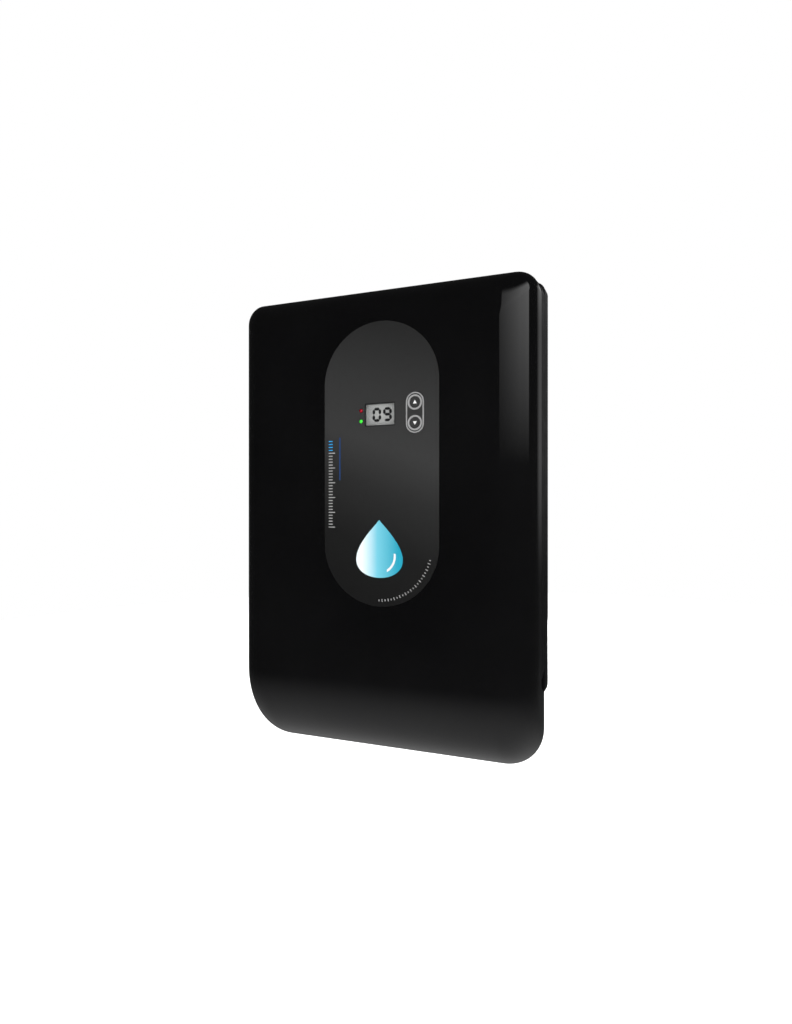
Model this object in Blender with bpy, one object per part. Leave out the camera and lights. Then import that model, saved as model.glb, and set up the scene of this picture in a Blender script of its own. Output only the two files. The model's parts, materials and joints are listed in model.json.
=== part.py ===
"""Wall-mounted control unit of a salt chlorine generator: hood, casing, bracket, boards, keys and glands.

Frame: metres, +Z up. The wall is the plane Y = 0 and the unit faces -Y. The origin is on the wall, at the
centre of the casing's outline, so X = 0 is the middle of the unit. Places on the unit are (x, z).
"""

from math import acos, cos, pi, radians, sin, tan

import bmesh
import bpy
from mathutils import Matrix, Vector

# Outline of the unit, seen from the front. Corners are the radii of the upper and the lower corners.
WIDTH = 0.300
HALF_WIDTH = WIDTH / 2
CASING_HALF_HEIGHT = 0.196
BRACKET_CORNERS = (0.009, 0.014)
FLANGE_CORNERS = (0.015, 0.034)

# Layers, from the wall to the front.
DEPTH = 0.082
FRONT_Y = -DEPTH
BRACKET_FRONT_Y = -0.0170
CASING_BACK_Y = -0.0178
PARTING_Y = -0.0340
HOOD_RIM_Y = PARTING_Y - 0.0006

# Clearances and fasteners. A cutter runs past the faces it cuts, and a joined shape sinks into its body.
GAP = 0.0003
TOUCHING = 1e-6
OVERRUN = 0.004
SINK = 0.001
PILOT_RADIUS = 0.0015
CLEARANCE_RADIUS = 0.0018
SCREW_RADIUS = 0.0012
SCREW_HEAD_HEIGHT = 0.0019
BOARD_SCREW = (0.0027, 0.008)
LOCK_SCREW = (0.0032, 0.012)
CROSS_WIDTH = 0.0008
CROSS_DEPTH = 0.0009
CROSS_REACH = 0.62
SCREW_TIP = (0.4, 0.001)
PAN_HEAD = ((1.0, 0.0), (1.0, 0.45), (0.72, 0.9), (0.3, 1.0))

# Sides of a round shape, and steps of a rounded corner, by how large the shape shows.
FINE_SIDES = 28
ROUND_SIDES = 20
SMALL_SIDES = 12
HEXAGON = 6
FINE_STEPS = 10
CORNER_STEPS = 5
SMALL_STEPS = 2
SHARP_ANGLE = radians(30)

# Hood: flat front, rounded edges, and a lower edge that rolls back towards the wall.
HOOD_WALL = 0.003
EDGE_RADIUS = 0.036
HOOD_CORNER = 0.017
ROLL_RADIUS = 0.084
ROLL_START_Z = -0.177
SKIRT_BACK_Y = -0.021
RIM_DEPTH = DEPTH + HOOD_RIM_Y
SKIRT_DEPTH = DEPTH + SKIRT_BACK_Y
SKIRT_STEP = (0.0, radians(24))
SKIRT_TAPER = 0.004
ROLL_END = acos((ROLL_RADIUS - SKIRT_DEPTH) / ROLL_RADIUS) + radians(3)
ROLL_STATIONS = [radians(a) for a in (4, 8, 12, 16, 20, 24, 36, 50, 66)] + [ROLL_END]
EDGE_STEPS = 7
POSTS = [(x, z) for x in (-0.112, 0.112) for z in (-0.150, 0.150)]
POST_RADIUS = 0.003
POST_TIP_Y = -0.050

# Casing: a tub inside the hood, with a flange that carries on the hood's outline.
SHELL_WALL = 0.0025
TUB_HALF_WIDTH = 0.141
TUB_HALF_HEIGHT = 0.186
TUB_CORNER = 0.020
TUB_FRONT_Y = -0.064
TUB_FLOOR_Y = CASING_BACK_Y - SHELL_WALL
BOSS_RADIUS = 0.004
SOCKET_RADIUS = 0.006
SOCKET_FRONT_Y = -0.060
SOCKET_FLOOR_Y = -0.046
SEAL_REACH = (0.0006, 0.0050)
SEAL_FRONT_Y = PARTING_Y - 0.0028

# Control panel on the hood.
PANEL_X = 0.0105
PANEL_Z = 0.0254
PANEL_HALF_WIDTH = 0.0573
PANEL_HALF_HEIGHT = 0.1316
PANEL_FRONT_Y = FRONT_Y - 0.0003
PANEL_THICKNESS = 0.0012
PANEL_BACK_Y = PANEL_FRONT_Y + PANEL_THICKNESS
POCKET_FLOOR_Y = FRONT_Y + PANEL_THICKNESS
READOUT = (PANEL_X, 0.0709)
WINDOW_HALF = (0.01435, 0.00985)
WINDOW_CORNER = 0.0006
WINDOW_Y = (FRONT_Y - 0.0002, FRONT_Y + 0.0008)
WINDOW_LEDGE = 0.0013
LED_X = -0.0087
LED_ZS = {"red": 0.0753, "green": 0.0654}
LED_RADIUS = 0.0019
LED_FLANGE = 0.0004
LED_FLANGE_HEIGHT = 0.001
LED_DOME = ((1.0, 0.0009), (0.8, 0.0003), (0.35, 0.0))
LED_TIP_Y = PANEL_FRONT_Y - 0.0003
KEY_X = 0.0450
KEY_ZS = {"up": 0.0801, "down": 0.0615}
KEYS_CENTRE = (KEY_X, sum(KEY_ZS.values()) / 2)
KEY_RADIUS = 0.0050
KEY_RING_INNER = 0.0053
KEY_RING_OUTER = 0.0069
KEY_FRONT_Y = -0.0827
KEY_DOME = 0.0003
KEY_DISH_SHARE = 0.75
KEY_FLANGE = 0.0010
KEY_FLANGE_Y = -0.0786
KEY_STEM_RADIUS = 0.0018
KEY_STEM_Y = -0.0760
SURROUND_HALF = (0.00855, 0.01845)
SURROUND_LINE = 0.0011
SURROUND_Y = (-0.0828, FRONT_Y + 0.0007)
FIELD_Y = SURROUND_Y[0] + 0.0006

# Boards. What stands on the main board starts at SEATED_Y.
BOARD_THICKNESS = 0.0016
MAIN_BOARD_BACK_Y = -0.0280
MAIN_BOARD_FRONT_Y = MAIN_BOARD_BACK_Y - BOARD_THICKNESS
MAIN_BOARD_CENTRE = (0, -0.025)
MAIN_BOARD_HALF = (0.100, 0.140)
MAIN_BOARD_CORNER = 0.003
MAIN_SCREWS = [(x, z) for z in (-0.157, 0.107) for x in (-0.092, 0.092)]
SEATED_Y = MAIN_BOARD_FRONT_Y - GAP
DISPLAY_BOARD_BACK_Y = -0.0710
DISPLAY_BOARD_FRONT_Y = DISPLAY_BOARD_BACK_Y - BOARD_THICKNESS
DISPLAY_BOARD_CENTRE = (0.014, 0.071)
DISPLAY_BOARD_HALF = (0.048, 0.030)
DISPLAY_BOARD_CORNER = 0.002
DISPLAY_SEATED_Y = DISPLAY_BOARD_FRONT_Y - GAP
STANDOFFS = [(x, z) for z in (0.047, 0.095) for x in (-0.028, 0.056)]
STANDOFF_RADIUS = 0.0032
STANDOFF_BARB = ((0.0023, 0), (0.0010, 0.0028))
LCD_FRONT_Y = -0.0806
LCD_MARGIN = 0.0007

# Main board components. A size is (wide, tall, deep), along X, Z and Y.
TRANSFORMER_AT = (-0.018, -0.030)
TRANSFORMER_CORE = (0.042, 0.015, 0.032)
TRANSFORMER_LIMB = 0.0065
WINDING_HALF_HEIGHT = 0.019
WINDING_CORNER = 0.003
CAPACITORS = {
    "bulk_capacitor_1": ((-0.078, -0.004), 0.0125, 0.032),
    "bulk_capacitor_2": ((-0.078, -0.036), 0.0125, 0.032),
    "output_capacitor_1": ((-0.030, -0.078), 0.0080, 0.025),
    "output_capacitor_2": ((-0.008, -0.078), 0.0080, 0.025),
}
CAPACITOR_FOOT = ((0.94, 0.0), (1.0, 0.0008), (1.0, 0.0025), (0.9, 0.0034), (1.0, 0.0043))
CAPACITOR_TOP = ((1.0, 0.0012), (0.92, 0.0))
CHOKE_AT = (-0.074, -0.078)
CHOKE_RADIUS = 0.0095
CHOKE_THICKNESS = 0.0042
CHOKE_DEPTH = CHOKE_THICKNESS * 1.3
CHOKE_SIDES = 8
HEAT_SINK_X = (0.030, 0.090)
HEAT_SINK_Z = (-0.078, 0.016)
HEAT_SINK_BASE = 0.0035
FIN_COUNT = 7
FIN_HEIGHT = 0.026
FIN_THICKNESS = 0.0018
TRANSISTOR_ZS = (-0.012, -0.050)
TRANSISTOR_HALF_WIDTH = 0.005
TRANSISTOR_CASE = (0.0045, 0.005, 0.014)
TRANSISTOR_TAB = (0.0013, 0.012, 0.020)
LEG_SETBACK = (0.0022, 0.0028)
LEG_PITCH = 0.0025
LEG_HALF_WIDTH = 0.0004
BLOCKS = {
    "polarity_relay_1": ("relay_blue", (0.022, -0.107), (0.029, 0.0125, 0.0205), 0),
    "polarity_relay_2": ("relay_blue", (0.062, -0.107), (0.029, 0.0125, 0.0205), 0),
    "mains_terminal_block": ("terminal_green", (-0.066, -0.145), (0.030, 0.014, 0.016), 3),
    "sensor_terminal_block": ("terminal_green", (-0.012, -0.145), (0.024, 0.010, 0.012), 4),
    "cell_terminal_block": ("terminal_green", (0.050, -0.145), (0.040, 0.016, 0.020), 3),
    "microcontroller": ("component_black", (0.020, 0.070), (0.014, 0.014, 0.0016), 0),
    "main_ribbon_header": ("component_black", (-0.006, 0.020), (0.017, 0.006, 0.008), 0),
}
WELL_DEPTH = 0.004
WELL_SHARE = 0.30
WELL_OFFSET = 0.12
ENTRY_TOP_SHARE = 0.20
ENTRY_DEPTH_SHARE = 0.62
ENTRY_FLOOR = 0.002
FUSE_AT = (-0.074, -0.112)
FUSE_RADIUS = 0.0023
FUSE_CAP_RADIUS = 0.0026
FUSE_HALF_LENGTH = 0.010
FUSE_CAP_LENGTH = 0.005
FUSE_AXIS_Y = SEATED_Y - 0.0080
FUSE_BASE = (0.026, 0.008, 0.004)
FUSE_CHEEK = (0.003, 0.008, 0.0095)
FUSE_CHEEK_X = 0.0095
TACT_HALF = 0.003
TACT_HEIGHT = 0.0016
TACT_BUTTON = (0.0016, 0.0005)

# Ribbon cable: its two headers, and the cable between them.
RIBBON_X = -0.006
RIBBON_HALF_WIDTH = 0.0065
RIBBON_THICKNESS = 0.0009
RIBBON_STEPS = 14
HEADER_SIZE = (0.017, 0.006, 0.008)
DISPLAY_HEADER_Z = 0.0445
DISPLAY_HEADER_BACK_Y = DISPLAY_BOARD_BACK_Y + GAP

# Underside: glands and the mains switch.
FLOOR_OUTER_Z = -TUB_HALF_HEIGHT
FLOOR_INNER_Z = FLOOR_OUTER_Z + SHELL_WALL
FLOOR_CUT = (FLOOR_OUTER_Z - OVERRUN, FLOOR_INNER_Z + OVERRUN)
SEAT_Z = FLOOR_OUTER_Z - GAP
ENTRY_Y = -0.0500
GLANDS = {"mains": -0.092, "sensor": -0.044, "cell": 0.004}
GLAND_THREAD = 0.0078
GLAND_HOLE = 0.0082
GLAND_BORE = 0.0048
GLAND_TOP_Z = FLOOR_INNER_Z + 0.009
GLAND_LOW_Z = SEAT_Z - 0.0145
GLAND_HEXAGON = (0.0122, 0.006)
LOCKNUT = (0.0120, 0.005)
CLAMP_NUT = ((0.0108, 0), (0.0108, 0.010), (0.0085, 0.0155), (0.0066, 0.0175))
SWITCH_X = 0.082
SWITCH_HALF = (0.0097, 0.0066)
SWITCH_TOP_Z = FLOOR_INNER_Z + 0.014
BEZEL_HALF = (0.0108, 0.0076)
BEZEL_HEIGHT = 0.002
BEZEL_CORNER = 0.001
BLADE_XS = (-0.0055, 0, 0.0055)
BLADE_HALF = (0.0004, 0.0024)
BLADE_HEIGHT = 0.007
ROCKER_TILT = radians(12)
ROCKER_HALF_LENGTH = 0.0078
ROCKER_HALF_WIDTH = 0.0050
ROCKER_AXIS_Z = FLOOR_OUTER_Z + 0.0030
ROCKER_DROP = 0.0036
ROCKER_CROWN = ((0.55, 0.0040), (0, 0.0052), (-0.55, 0.0040))
VALLEY_SHARE = 0.9
WELL_CLEARANCE = (0.0010, 0.0004)
WELL_TOP_Z = ROCKER_AXIS_Z + 0.0068

# Wall bracket.
BRACKET_PLATE = 0.003
WALL_HOLES = [(x, z) for x in (-0.120, 0.120) for z in (-0.160, 0.160)]
WALL_HOLE_RADIUS = 0.00275
WALL_PAD = (0.008, 0.003)
HOOK_XS = (-0.080, 0.080)
HOOK_HALF_WIDTH = 0.008
HOOK_TOP_Z = 0.150
HOOK_THICKNESS = 0.004
HOOK_LIP = 0.008
HOOK_FACE_Y = TUB_FLOOR_Y - 0.0022
HOOK_LIP_Y = HOOK_FACE_Y - 0.0025
HOOK_SIDE_PLAY = 0.001
HOOK_DROP = 0.002
LOCK_AT = (0, -0.172)
LOCK_BOSS_RADIUS = 0.005

COLOURS = {
    "gloss_black": ((0.012, 0.012, 0.013), 0.08, 0.0),
    "satin_black": ((0.020, 0.020, 0.021), 0.40, 0.0),
    "panel_grey": ((0.045, 0.045, 0.045), 0.55, 0.0),
    "silver_grey": ((0.42, 0.42, 0.42), 0.40, 0.0),
    "clear_window": ((0.70, 0.72, 0.70), 0.05, 0.0),
    "lcd_grey": ((0.36, 0.37, 0.35), 0.30, 0.0),
    "key_black": ((0.030, 0.030, 0.030), 0.45, 0.0),
    "red_lens": ((0.70, 0.02, 0.05), 0.20, 0.0),
    "green_lens": ((0.10, 0.80, 0.10), 0.20, 0.0),
    "board_green": ((0.02, 0.16, 0.07), 0.45, 0.0),
    "ferrite": ((0.06, 0.06, 0.065), 0.60, 0.0),
    "winding_yellow": ((0.75, 0.55, 0.08), 0.45, 0.0),
    "copper": ((0.60, 0.25, 0.10), 0.35, 0.8),
    "aluminium": ((0.60, 0.61, 0.63), 0.35, 1.0),
    "steel": ((0.55, 0.55, 0.57), 0.30, 1.0),
    "nylon_white": ((0.75, 0.74, 0.70), 0.45, 0.0),
    "component_black": ((0.025, 0.025, 0.027), 0.50, 0.0),
    "relay_blue": ((0.05, 0.16, 0.45), 0.35, 0.0),
    "terminal_green": ((0.05, 0.30, 0.12), 0.45, 0.0),
    "capacitor_sleeve": ((0.03, 0.04, 0.12), 0.30, 0.0),
    "fuse_glass": ((0.75, 0.78, 0.78), 0.08, 0.0),
    "seal_rubber": ((0.03, 0.03, 0.03), 0.80, 0.0),
    "ribbon_grey": ((0.45, 0.45, 0.47), 0.55, 0.0),
}


# ---------------------------------------------------------------- tools


def clear_scene():
    for obj in list(bpy.data.objects):
        bpy.data.objects.remove(obj)


def material(slot):
    if slot in bpy.data.materials:
        return bpy.data.materials[slot]
    colour, roughness, metallic = COLOURS[slot]
    made = bpy.data.materials.new(slot)
    made.use_nodes = True
    shader = made.node_tree.nodes["Principled BSDF"]
    shader.inputs["Base Color"].default_value = (*colour, 1.0)
    shader.inputs["Roughness"].default_value = roughness
    shader.inputs["Metallic"].default_value = metallic
    return made


def add(name, shape, slot, location=(0, 0, 0)):
    """Puts a bmesh into the scene as one named object, at its own location."""
    bmesh.ops.recalc_face_normals(shape, faces=shape.faces)
    mesh = bpy.data.meshes.new(name)
    shape.to_mesh(mesh)
    shape.free()
    mesh.shade_smooth()
    mesh.set_sharp_from_angle(angle=SHARP_ANGLE)
    mesh.materials.append(material(slot))
    obj = bpy.data.objects.new(name, mesh)
    obj.location = location
    bpy.context.scene.collection.objects.link(obj)
    return obj


def combine(target, tools, operation):
    """Applies one Boolean for each tool shape, and hides the tools."""
    for number, tool in enumerate(tools):
        helper = add(f"{target.name}.{operation.lower()}.{number}", tool, "satin_black", target.location)
        helper.hide_render = True
        helper.display_type = "WIRE"
        boolean = target.modifiers.new(f"{operation.title()} {number}", "BOOLEAN")
        boolean.operation = operation
        boolean.object = helper


def cut(target, *tools):
    combine(target, tools, "DIFFERENCE")


def join(target, *tools):
    combine(target, tools, "UNION")


def loop_prism(points, direction):
    """A closed solid: the outline through these points, extruded along direction."""
    shape = bmesh.new()
    face = shape.faces.new([shape.verts.new(p) for p in points])
    grown = bmesh.ops.extrude_face_region(shape, geom=[face])["geom"]
    moved = [v for v in grown if isinstance(v, bmesh.types.BMVert)]
    bmesh.ops.translate(shape, verts=moved, vec=direction)
    bmesh.ops.recalc_face_normals(shape, faces=shape.faces)
    return shape


def prism_y(outline, y_low, y_high):
    """An outline of (x, z) points, extruded from y_low to y_high."""
    return loop_prism([(x, y_low, z) for x, z in outline], (0, y_high - y_low, 0))


def prism_z(outline, z_low, z_high):
    """An outline of (x, y) points, extruded from z_low to z_high."""
    return loop_prism([(x, y, z_low) for x, y in outline], (0, 0, z_high - z_low))


def prism_x(outline, x_low, x_high):
    """An outline of (y, z) points, extruded from x_low to x_high."""
    return loop_prism([(x_low, y, z) for y, z in outline], (x_high - x_low, 0, 0))


def rounded(centre, half, radius, steps):
    """A rectangle with round corners. Half is its half-width and half-height."""
    points = []
    for sx, sz, start in ((1, 1, 0), (-1, 1, 90), (-1, -1, 180), (1, -1, 270)):
        for step in range(steps + 1):
            angle = radians(start + 90 * step / steps)
            points.append(
                (
                    centre[0] + sx * (half[0] - radius) + radius * cos(angle),
                    centre[1] + sz * (half[1] - radius) + radius * sin(angle),
                )
            )
    return points


def circle(centre, radius, count):
    angles = [2 * pi * n / count for n in range(count)]
    return [(centre[0] + radius * cos(angle), centre[1] + radius * sin(angle)) for angle in angles]


def pill(centre, half, steps):
    """A rectangle whose short ends are half circles, drawn without doubled corner points."""
    radius = min(half)
    points = rounded(centre, half, radius, steps)
    kept = []
    for point in points:
        if not kept or (Vector(point) - Vector(kept[-1])).length > TOUCHING:
            kept.append(point)
    if (Vector(kept[0]) - Vector(kept[-1])).length < TOUCHING:
        kept.pop()
    return kept


def rod(at, radius, sides, y_low, y_high):
    return prism_y(circle(at, radius, sides), y_low, y_high)


def box(low, high):
    outline = [(low[0], low[2]), (high[0], low[2]), (high[0], high[2]), (low[0], high[2])]
    return prism_y(outline, low[1], high[1])


def turned(profile, axis, count):
    """A solid of revolution. Profile is a list of (radius, height) from one end to the other."""
    shape = bmesh.new()
    rings = []
    for radius, height in profile:
        if radius == 0:
            rings.append([shape.verts.new((0, 0, height))] * count)
        else:
            rings.append([shape.verts.new((x, y, height)) for x, y in circle((0, 0), radius, count)])
    for lower, upper in zip(rings, rings[1:]):
        for n in range(count):
            m = (n + 1) % count
            corners = []
            for vert in (lower[n], lower[m], upper[m], upper[n]):
                if vert not in corners:
                    corners.append(vert)
            shape.faces.new(corners)
    for ring in (rings[0], rings[-1]):
        if ring[0] is not ring[1]:
            shape.faces.new(ring)
    bmesh.ops.recalc_face_normals(shape, faces=shape.faces)
    if axis == "Y":
        bmesh.ops.rotate(shape, verts=shape.verts, cent=(0, 0, 0), matrix=Matrix.Rotation(pi / 2, 3, "X"))
    return shape


def screw(name, at, head_y, size):
    """A pan-head screw along Y whose head sits in front of head_y, with a cross recess."""
    head_radius, length = size
    tip_share, tip_height = SCREW_TIP
    profile = [
        (SCREW_RADIUS * tip_share, -length),
        (SCREW_RADIUS, tip_height - length),
        (SCREW_RADIUS, 0),
    ]
    profile += [(head_radius * share, SCREW_HEAD_HEIGHT * height) for share, height in PAN_HEAD]
    # A profile's heights run forwards once the axis is turned to -Y.
    made = add(name, turned(profile, "Y", SMALL_SIDES), "steel", (at[0], head_y, at[1]))
    long, thin = head_radius * CROSS_REACH, CROSS_WIDTH / 2
    front, floor = -SCREW_HEAD_HEIGHT - OVERRUN, CROSS_DEPTH - SCREW_HEAD_HEIGHT
    for wide, tall in ((long, thin), (thin, long)):
        cut(made, box((-wide, front, -tall), (wide, floor, tall)))


# ---------------------------------------------------------------- hood


def smoothstep(value):
    value = min(1.0, max(0.0, value))
    return value * value * (3 - 2 * value)


def roll_point(angle, inset, depth):
    """A point (x, depth, z) of the roll. The rim, whose depth is None, steps back to the skirt's depth."""
    if depth is None:
        share = smoothstep((angle - SKIRT_STEP[0]) / (SKIRT_STEP[1] - SKIRT_STEP[0]))
        reach = ROLL_RADIUS - RIM_DEPTH * (1 - share) - SKIRT_DEPTH * share
        reach -= SKIRT_TAPER * max(0.0, angle - SKIRT_STEP[1]) / (ROLL_END - SKIRT_STEP[1])
        radius = reach / cos(angle)
    else:
        radius = ROLL_RADIUS - depth
    return (HALF_WIDTH - inset, ROLL_RADIUS - radius * cos(angle), ROLL_START_Z - radius * sin(angle))


def hood_lines():
    """The lines that run round the hood from one end of the skirt to the other, outermost first.

    Each line is a list of points (x, depth, z), where depth is measured back from the front. The first line
    is the rim. The next ones cross the edge rounding, and the last one bounds the flat front.
    """
    angles = [pi / 2 * n / EDGE_STEPS for n in range(EDGE_STEPS + 1)]
    profile = [(0.0, None)]
    profile += [(EDGE_RADIUS * (1 - cos(a)), EDGE_RADIUS * (1 - sin(a))) for a in angles]
    lines = []
    for inset, depth in profile:
        half = [roll_point(angle, inset, depth) for angle in reversed(ROLL_STATIONS)]
        back = RIM_DEPTH if depth is None else depth
        half.append((HALF_WIDTH - inset, back, ROLL_START_Z))
        half.append((HALF_WIDTH - inset, back, 0.0))
        corner_x = HALF_WIDTH - inset - HOOD_CORNER
        corner_z = CASING_HALF_HEIGHT - inset - HOOD_CORNER
        for n in range(CORNER_STEPS + 1):
            angle = pi / 2 * n / CORNER_STEPS
            half.append((corner_x + HOOD_CORNER * cos(angle), back, corner_z + HOOD_CORNER * sin(angle)))
        lines.append(half + [(-x, d, z) for x, d, z in reversed(half)])
    return lines


def hood_skin():
    """The hood's outer surface as an open mesh: a band round the edge, the flat front and the roll."""
    roll_steps = len(ROLL_STATIONS)
    shape = bmesh.new()
    rows = [[shape.verts.new((x, FRONT_Y + depth, z)) for x, depth, z in line] for line in hood_lines()]
    for outer, inner in zip(rows, rows[1:]):
        for n in range(len(outer) - 1):
            shape.faces.new((outer[n], outer[n + 1], inner[n + 1], inner[n]))
    front = rows[-1]
    for n in range(roll_steps):
        shape.faces.new((front[n], front[n + 1], front[-2 - n], front[-1 - n]))
    shape.faces.new(front[roll_steps : len(front) - roll_steps])
    bmesh.ops.remove_doubles(shape, verts=shape.verts, dist=TOUCHING)
    everything = shape.verts[:] + shape.edges[:] + shape.faces[:]
    bmesh.ops.bisect_plane(
        shape, geom=everything, plane_co=(0, SKIRT_BACK_Y, 0), plane_no=(0, 1, 0), clear_outer=True
    )
    bmesh.ops.recalc_face_normals(shape, faces=shape.faces)
    largest = max(shape.faces, key=lambda face: face.calc_area())
    if largest.normal.y > 0:
        bmesh.ops.reverse_faces(shape, faces=shape.faces)
    return shape


def make_hood():
    mesh = bpy.data.meshes.new("front_cover")
    skin = hood_skin()
    skin.to_mesh(mesh)
    skin.free()
    mesh.shade_smooth()
    mesh.materials.append(material("gloss_black"))
    hood = bpy.data.objects.new("front_cover", mesh)
    bpy.context.scene.collection.objects.link(hood)
    thick = hood.modifiers.new("Wall", "SOLIDIFY")
    thick.thickness = HOOD_WALL
    thick.offset = -1
    thick.use_even_offset = True
    root_y = FRONT_Y + HOOD_WALL - SINK
    join(hood, *[rod(at, POST_RADIUS, SMALL_SIDES, root_y, POST_TIP_Y) for at in POSTS])
    through = (FRONT_Y - OVERRUN, FRONT_Y + HOOD_WALL + OVERRUN)
    pocket = pill((PANEL_X, PANEL_Z), (PANEL_HALF_WIDTH + GAP, PANEL_HALF_HEIGHT + GAP), FINE_STEPS)
    window = rounded(READOUT, [half + WINDOW_LEDGE for half in WINDOW_HALF], WINDOW_CORNER, SMALL_STEPS)
    cutters = [prism_y(pocket, through[0], POCKET_FLOOR_Y), prism_y(window, *through)]
    for z in LED_ZS.values():
        cutters.append(rod((LED_X, z), LED_RADIUS + LED_FLANGE, ROUND_SIDES, *through))
    for z in KEY_ZS.values():
        cutters.append(rod((KEY_X, z), KEY_RING_INNER, FINE_SIDES, *through))
    cut(hood, *cutters)


def make_panel():
    outline = pill((PANEL_X, PANEL_Z), (PANEL_HALF_WIDTH, PANEL_HALF_HEIGHT), FINE_STEPS)
    panel = add("control_panel", prism_y(outline, PANEL_FRONT_Y, PANEL_BACK_Y), "panel_grey")
    through = (PANEL_FRONT_Y - OVERRUN, PANEL_BACK_Y + OVERRUN)
    cutters = [prism_y(rounded(READOUT, WINDOW_HALF, WINDOW_CORNER, SMALL_STEPS), *through)]
    for z in LED_ZS.values():
        cutters.append(rod((LED_X, z), LED_RADIUS + GAP, ROUND_SIDES, *through))
    cutters.append(prism_y(pill(KEYS_CENTRE, [half + GAP for half in SURROUND_HALF], FINE_STEPS), *through))
    cut(panel, *cutters)


def make_window():
    outline = rounded(READOUT, [half - GAP for half in WINDOW_HALF], WINDOW_CORNER, SMALL_STEPS)
    add("display_window", prism_y(outline, *WINDOW_Y), "clear_window")


def make_key_surround():
    """A pill-shaped frame with a sunk field, and a raised ring round each key."""
    front, back = SURROUND_Y
    outline = pill(KEYS_CENTRE, SURROUND_HALF, FINE_STEPS)
    frame = add("key_surround", prism_y(outline, front, back), "silver_grey")
    field = pill(KEYS_CENTRE, [half - SURROUND_LINE for half in SURROUND_HALF], FINE_STEPS)
    cut(frame, prism_y(field, front - OVERRUN, FIELD_Y))
    places = [(KEY_X, z) for z in KEY_ZS.values()]
    join(frame, *[rod(at, KEY_RING_OUTER, FINE_SIDES, front, (FIELD_Y + back) / 2) for at in places])
    cut(frame, *[rod(at, KEY_RING_INNER, FINE_SIDES, front - OVERRUN, back + OVERRUN) for at in places])


def make_keys():
    for which, z in KEY_ZS.items():
        # Heights run forwards from the stem's tip: stem, retaining flange, shank, rim and dished face.
        flange_back = -KEY_FLANGE_Y - KEY_FLANGE
        profile = [
            (KEY_STEM_RADIUS, -KEY_STEM_Y),
            (KEY_STEM_RADIUS, flange_back),
            (KEY_RADIUS + KEY_FLANGE, flange_back),
            (KEY_RADIUS + KEY_FLANGE, -KEY_FLANGE_Y),
            (KEY_RADIUS, -KEY_FLANGE_Y),
            (KEY_RADIUS, -KEY_FRONT_Y - KEY_DOME),
            (KEY_RADIUS - KEY_DOME, -KEY_FRONT_Y),
            (KEY_RADIUS * KEY_DISH_SHARE, -KEY_FRONT_Y - KEY_DOME),
        ]
        add(f"{which}_key", turned(profile, "Y", FINE_SIDES), "key_black", (KEY_X, 0, z))


# ---------------------------------------------------------------- casing and wall bracket


def unit_outline(inset, corners):
    """The unit's outline, drawn in by inset, with the given radii of the upper and the lower corners."""
    half = (HALF_WIDTH - inset, CASING_HALF_HEIGHT - inset)
    upper, lower = [rounded((0, 0), half, corner - inset, FINE_STEPS) for corner in corners]
    return upper[: len(upper) // 2] + lower[len(lower) // 2 :]


def make_flange_channel(tub):
    """The space between the flange's skin and the tub's wall, as a cutter."""
    inside = unit_outline(SHELL_WALL, FLANGE_CORNERS)
    filling = prism_y(inside, PARTING_Y + SHELL_WALL, CASING_BACK_Y + OVERRUN)
    channel = add("casing.channel", filling, "satin_black")
    channel.hide_render = True
    channel.display_type = "WIRE"
    cut(channel, prism_y(tub, PARTING_Y - OVERRUN, CASING_BACK_Y + 2 * OVERRUN))
    return channel


def casing_holes():
    """Screw holes, post sockets, hook slots, and the cut-outs in the floor."""
    back = CASING_BACK_Y + OVERRUN
    holes = [rod(at, PILOT_RADIUS, SMALL_SIDES, TUB_FRONT_Y, TUB_FLOOR_Y - GAP) for at in MAIN_SCREWS]
    holes += [rod(at, POST_RADIUS + GAP, SMALL_SIDES, TUB_FRONT_Y, SOCKET_FLOOR_Y) for at in POSTS]
    holes.append(rod(LOCK_AT, CLEARANCE_RADIUS, SMALL_SIDES, TUB_FLOOR_Y - OVERRUN, back))
    wide = HOOK_HALF_WIDTH + HOOK_SIDE_PLAY
    low = HOOK_TOP_Z - HOOK_THICKNESS - HOOK_LIP - HOOK_DROP
    for x in HOOK_XS:
        holes.append(box((x - wide, TUB_FLOOR_Y - OVERRUN, low), (x + wide, back, HOOK_TOP_Z + GAP)))
    for x in GLANDS.values():
        holes.append(prism_z(circle((x, ENTRY_Y), GLAND_HOLE, ROUND_SIDES), *FLOOR_CUT))
    wide, deep = [half + GAP for half in SWITCH_HALF]
    low, high = FLOOR_CUT
    holes.append(box((SWITCH_X - wide, ENTRY_Y - deep, low), (SWITCH_X + wide, ENTRY_Y + deep, high)))
    return holes


def make_casing():
    tub = (TUB_HALF_WIDTH, TUB_HALF_HEIGHT)
    tub_outline = rounded((0, 0), tub, TUB_CORNER, CORNER_STEPS)
    flange = unit_outline(0, FLANGE_CORNERS)
    casing = add("casing", prism_y(flange, PARTING_Y, CASING_BACK_Y), "satin_black")
    join(casing, prism_y(tub_outline, TUB_FRONT_Y, CASING_BACK_Y - SINK))
    inside = rounded((0, 0), [half - SHELL_WALL for half in tub], TUB_CORNER - SHELL_WALL, CORNER_STEPS)
    cut(casing, prism_y(inside, TUB_FRONT_Y - OVERRUN, TUB_FLOOR_Y))
    hollow = casing.modifiers.new("Channel", "BOOLEAN")
    hollow.object = make_flange_channel(tub_outline)
    seat = MAIN_BOARD_BACK_Y + GAP
    root = TUB_FLOOR_Y + SINK
    join(casing, *[rod(at, BOSS_RADIUS, SMALL_SIDES, seat, root) for at in MAIN_SCREWS])
    join(casing, *[rod(at, SOCKET_RADIUS, ROUND_SIDES, SOCKET_FRONT_Y, root) for at in POSTS])
    cut(casing, *casing_holes())


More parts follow.
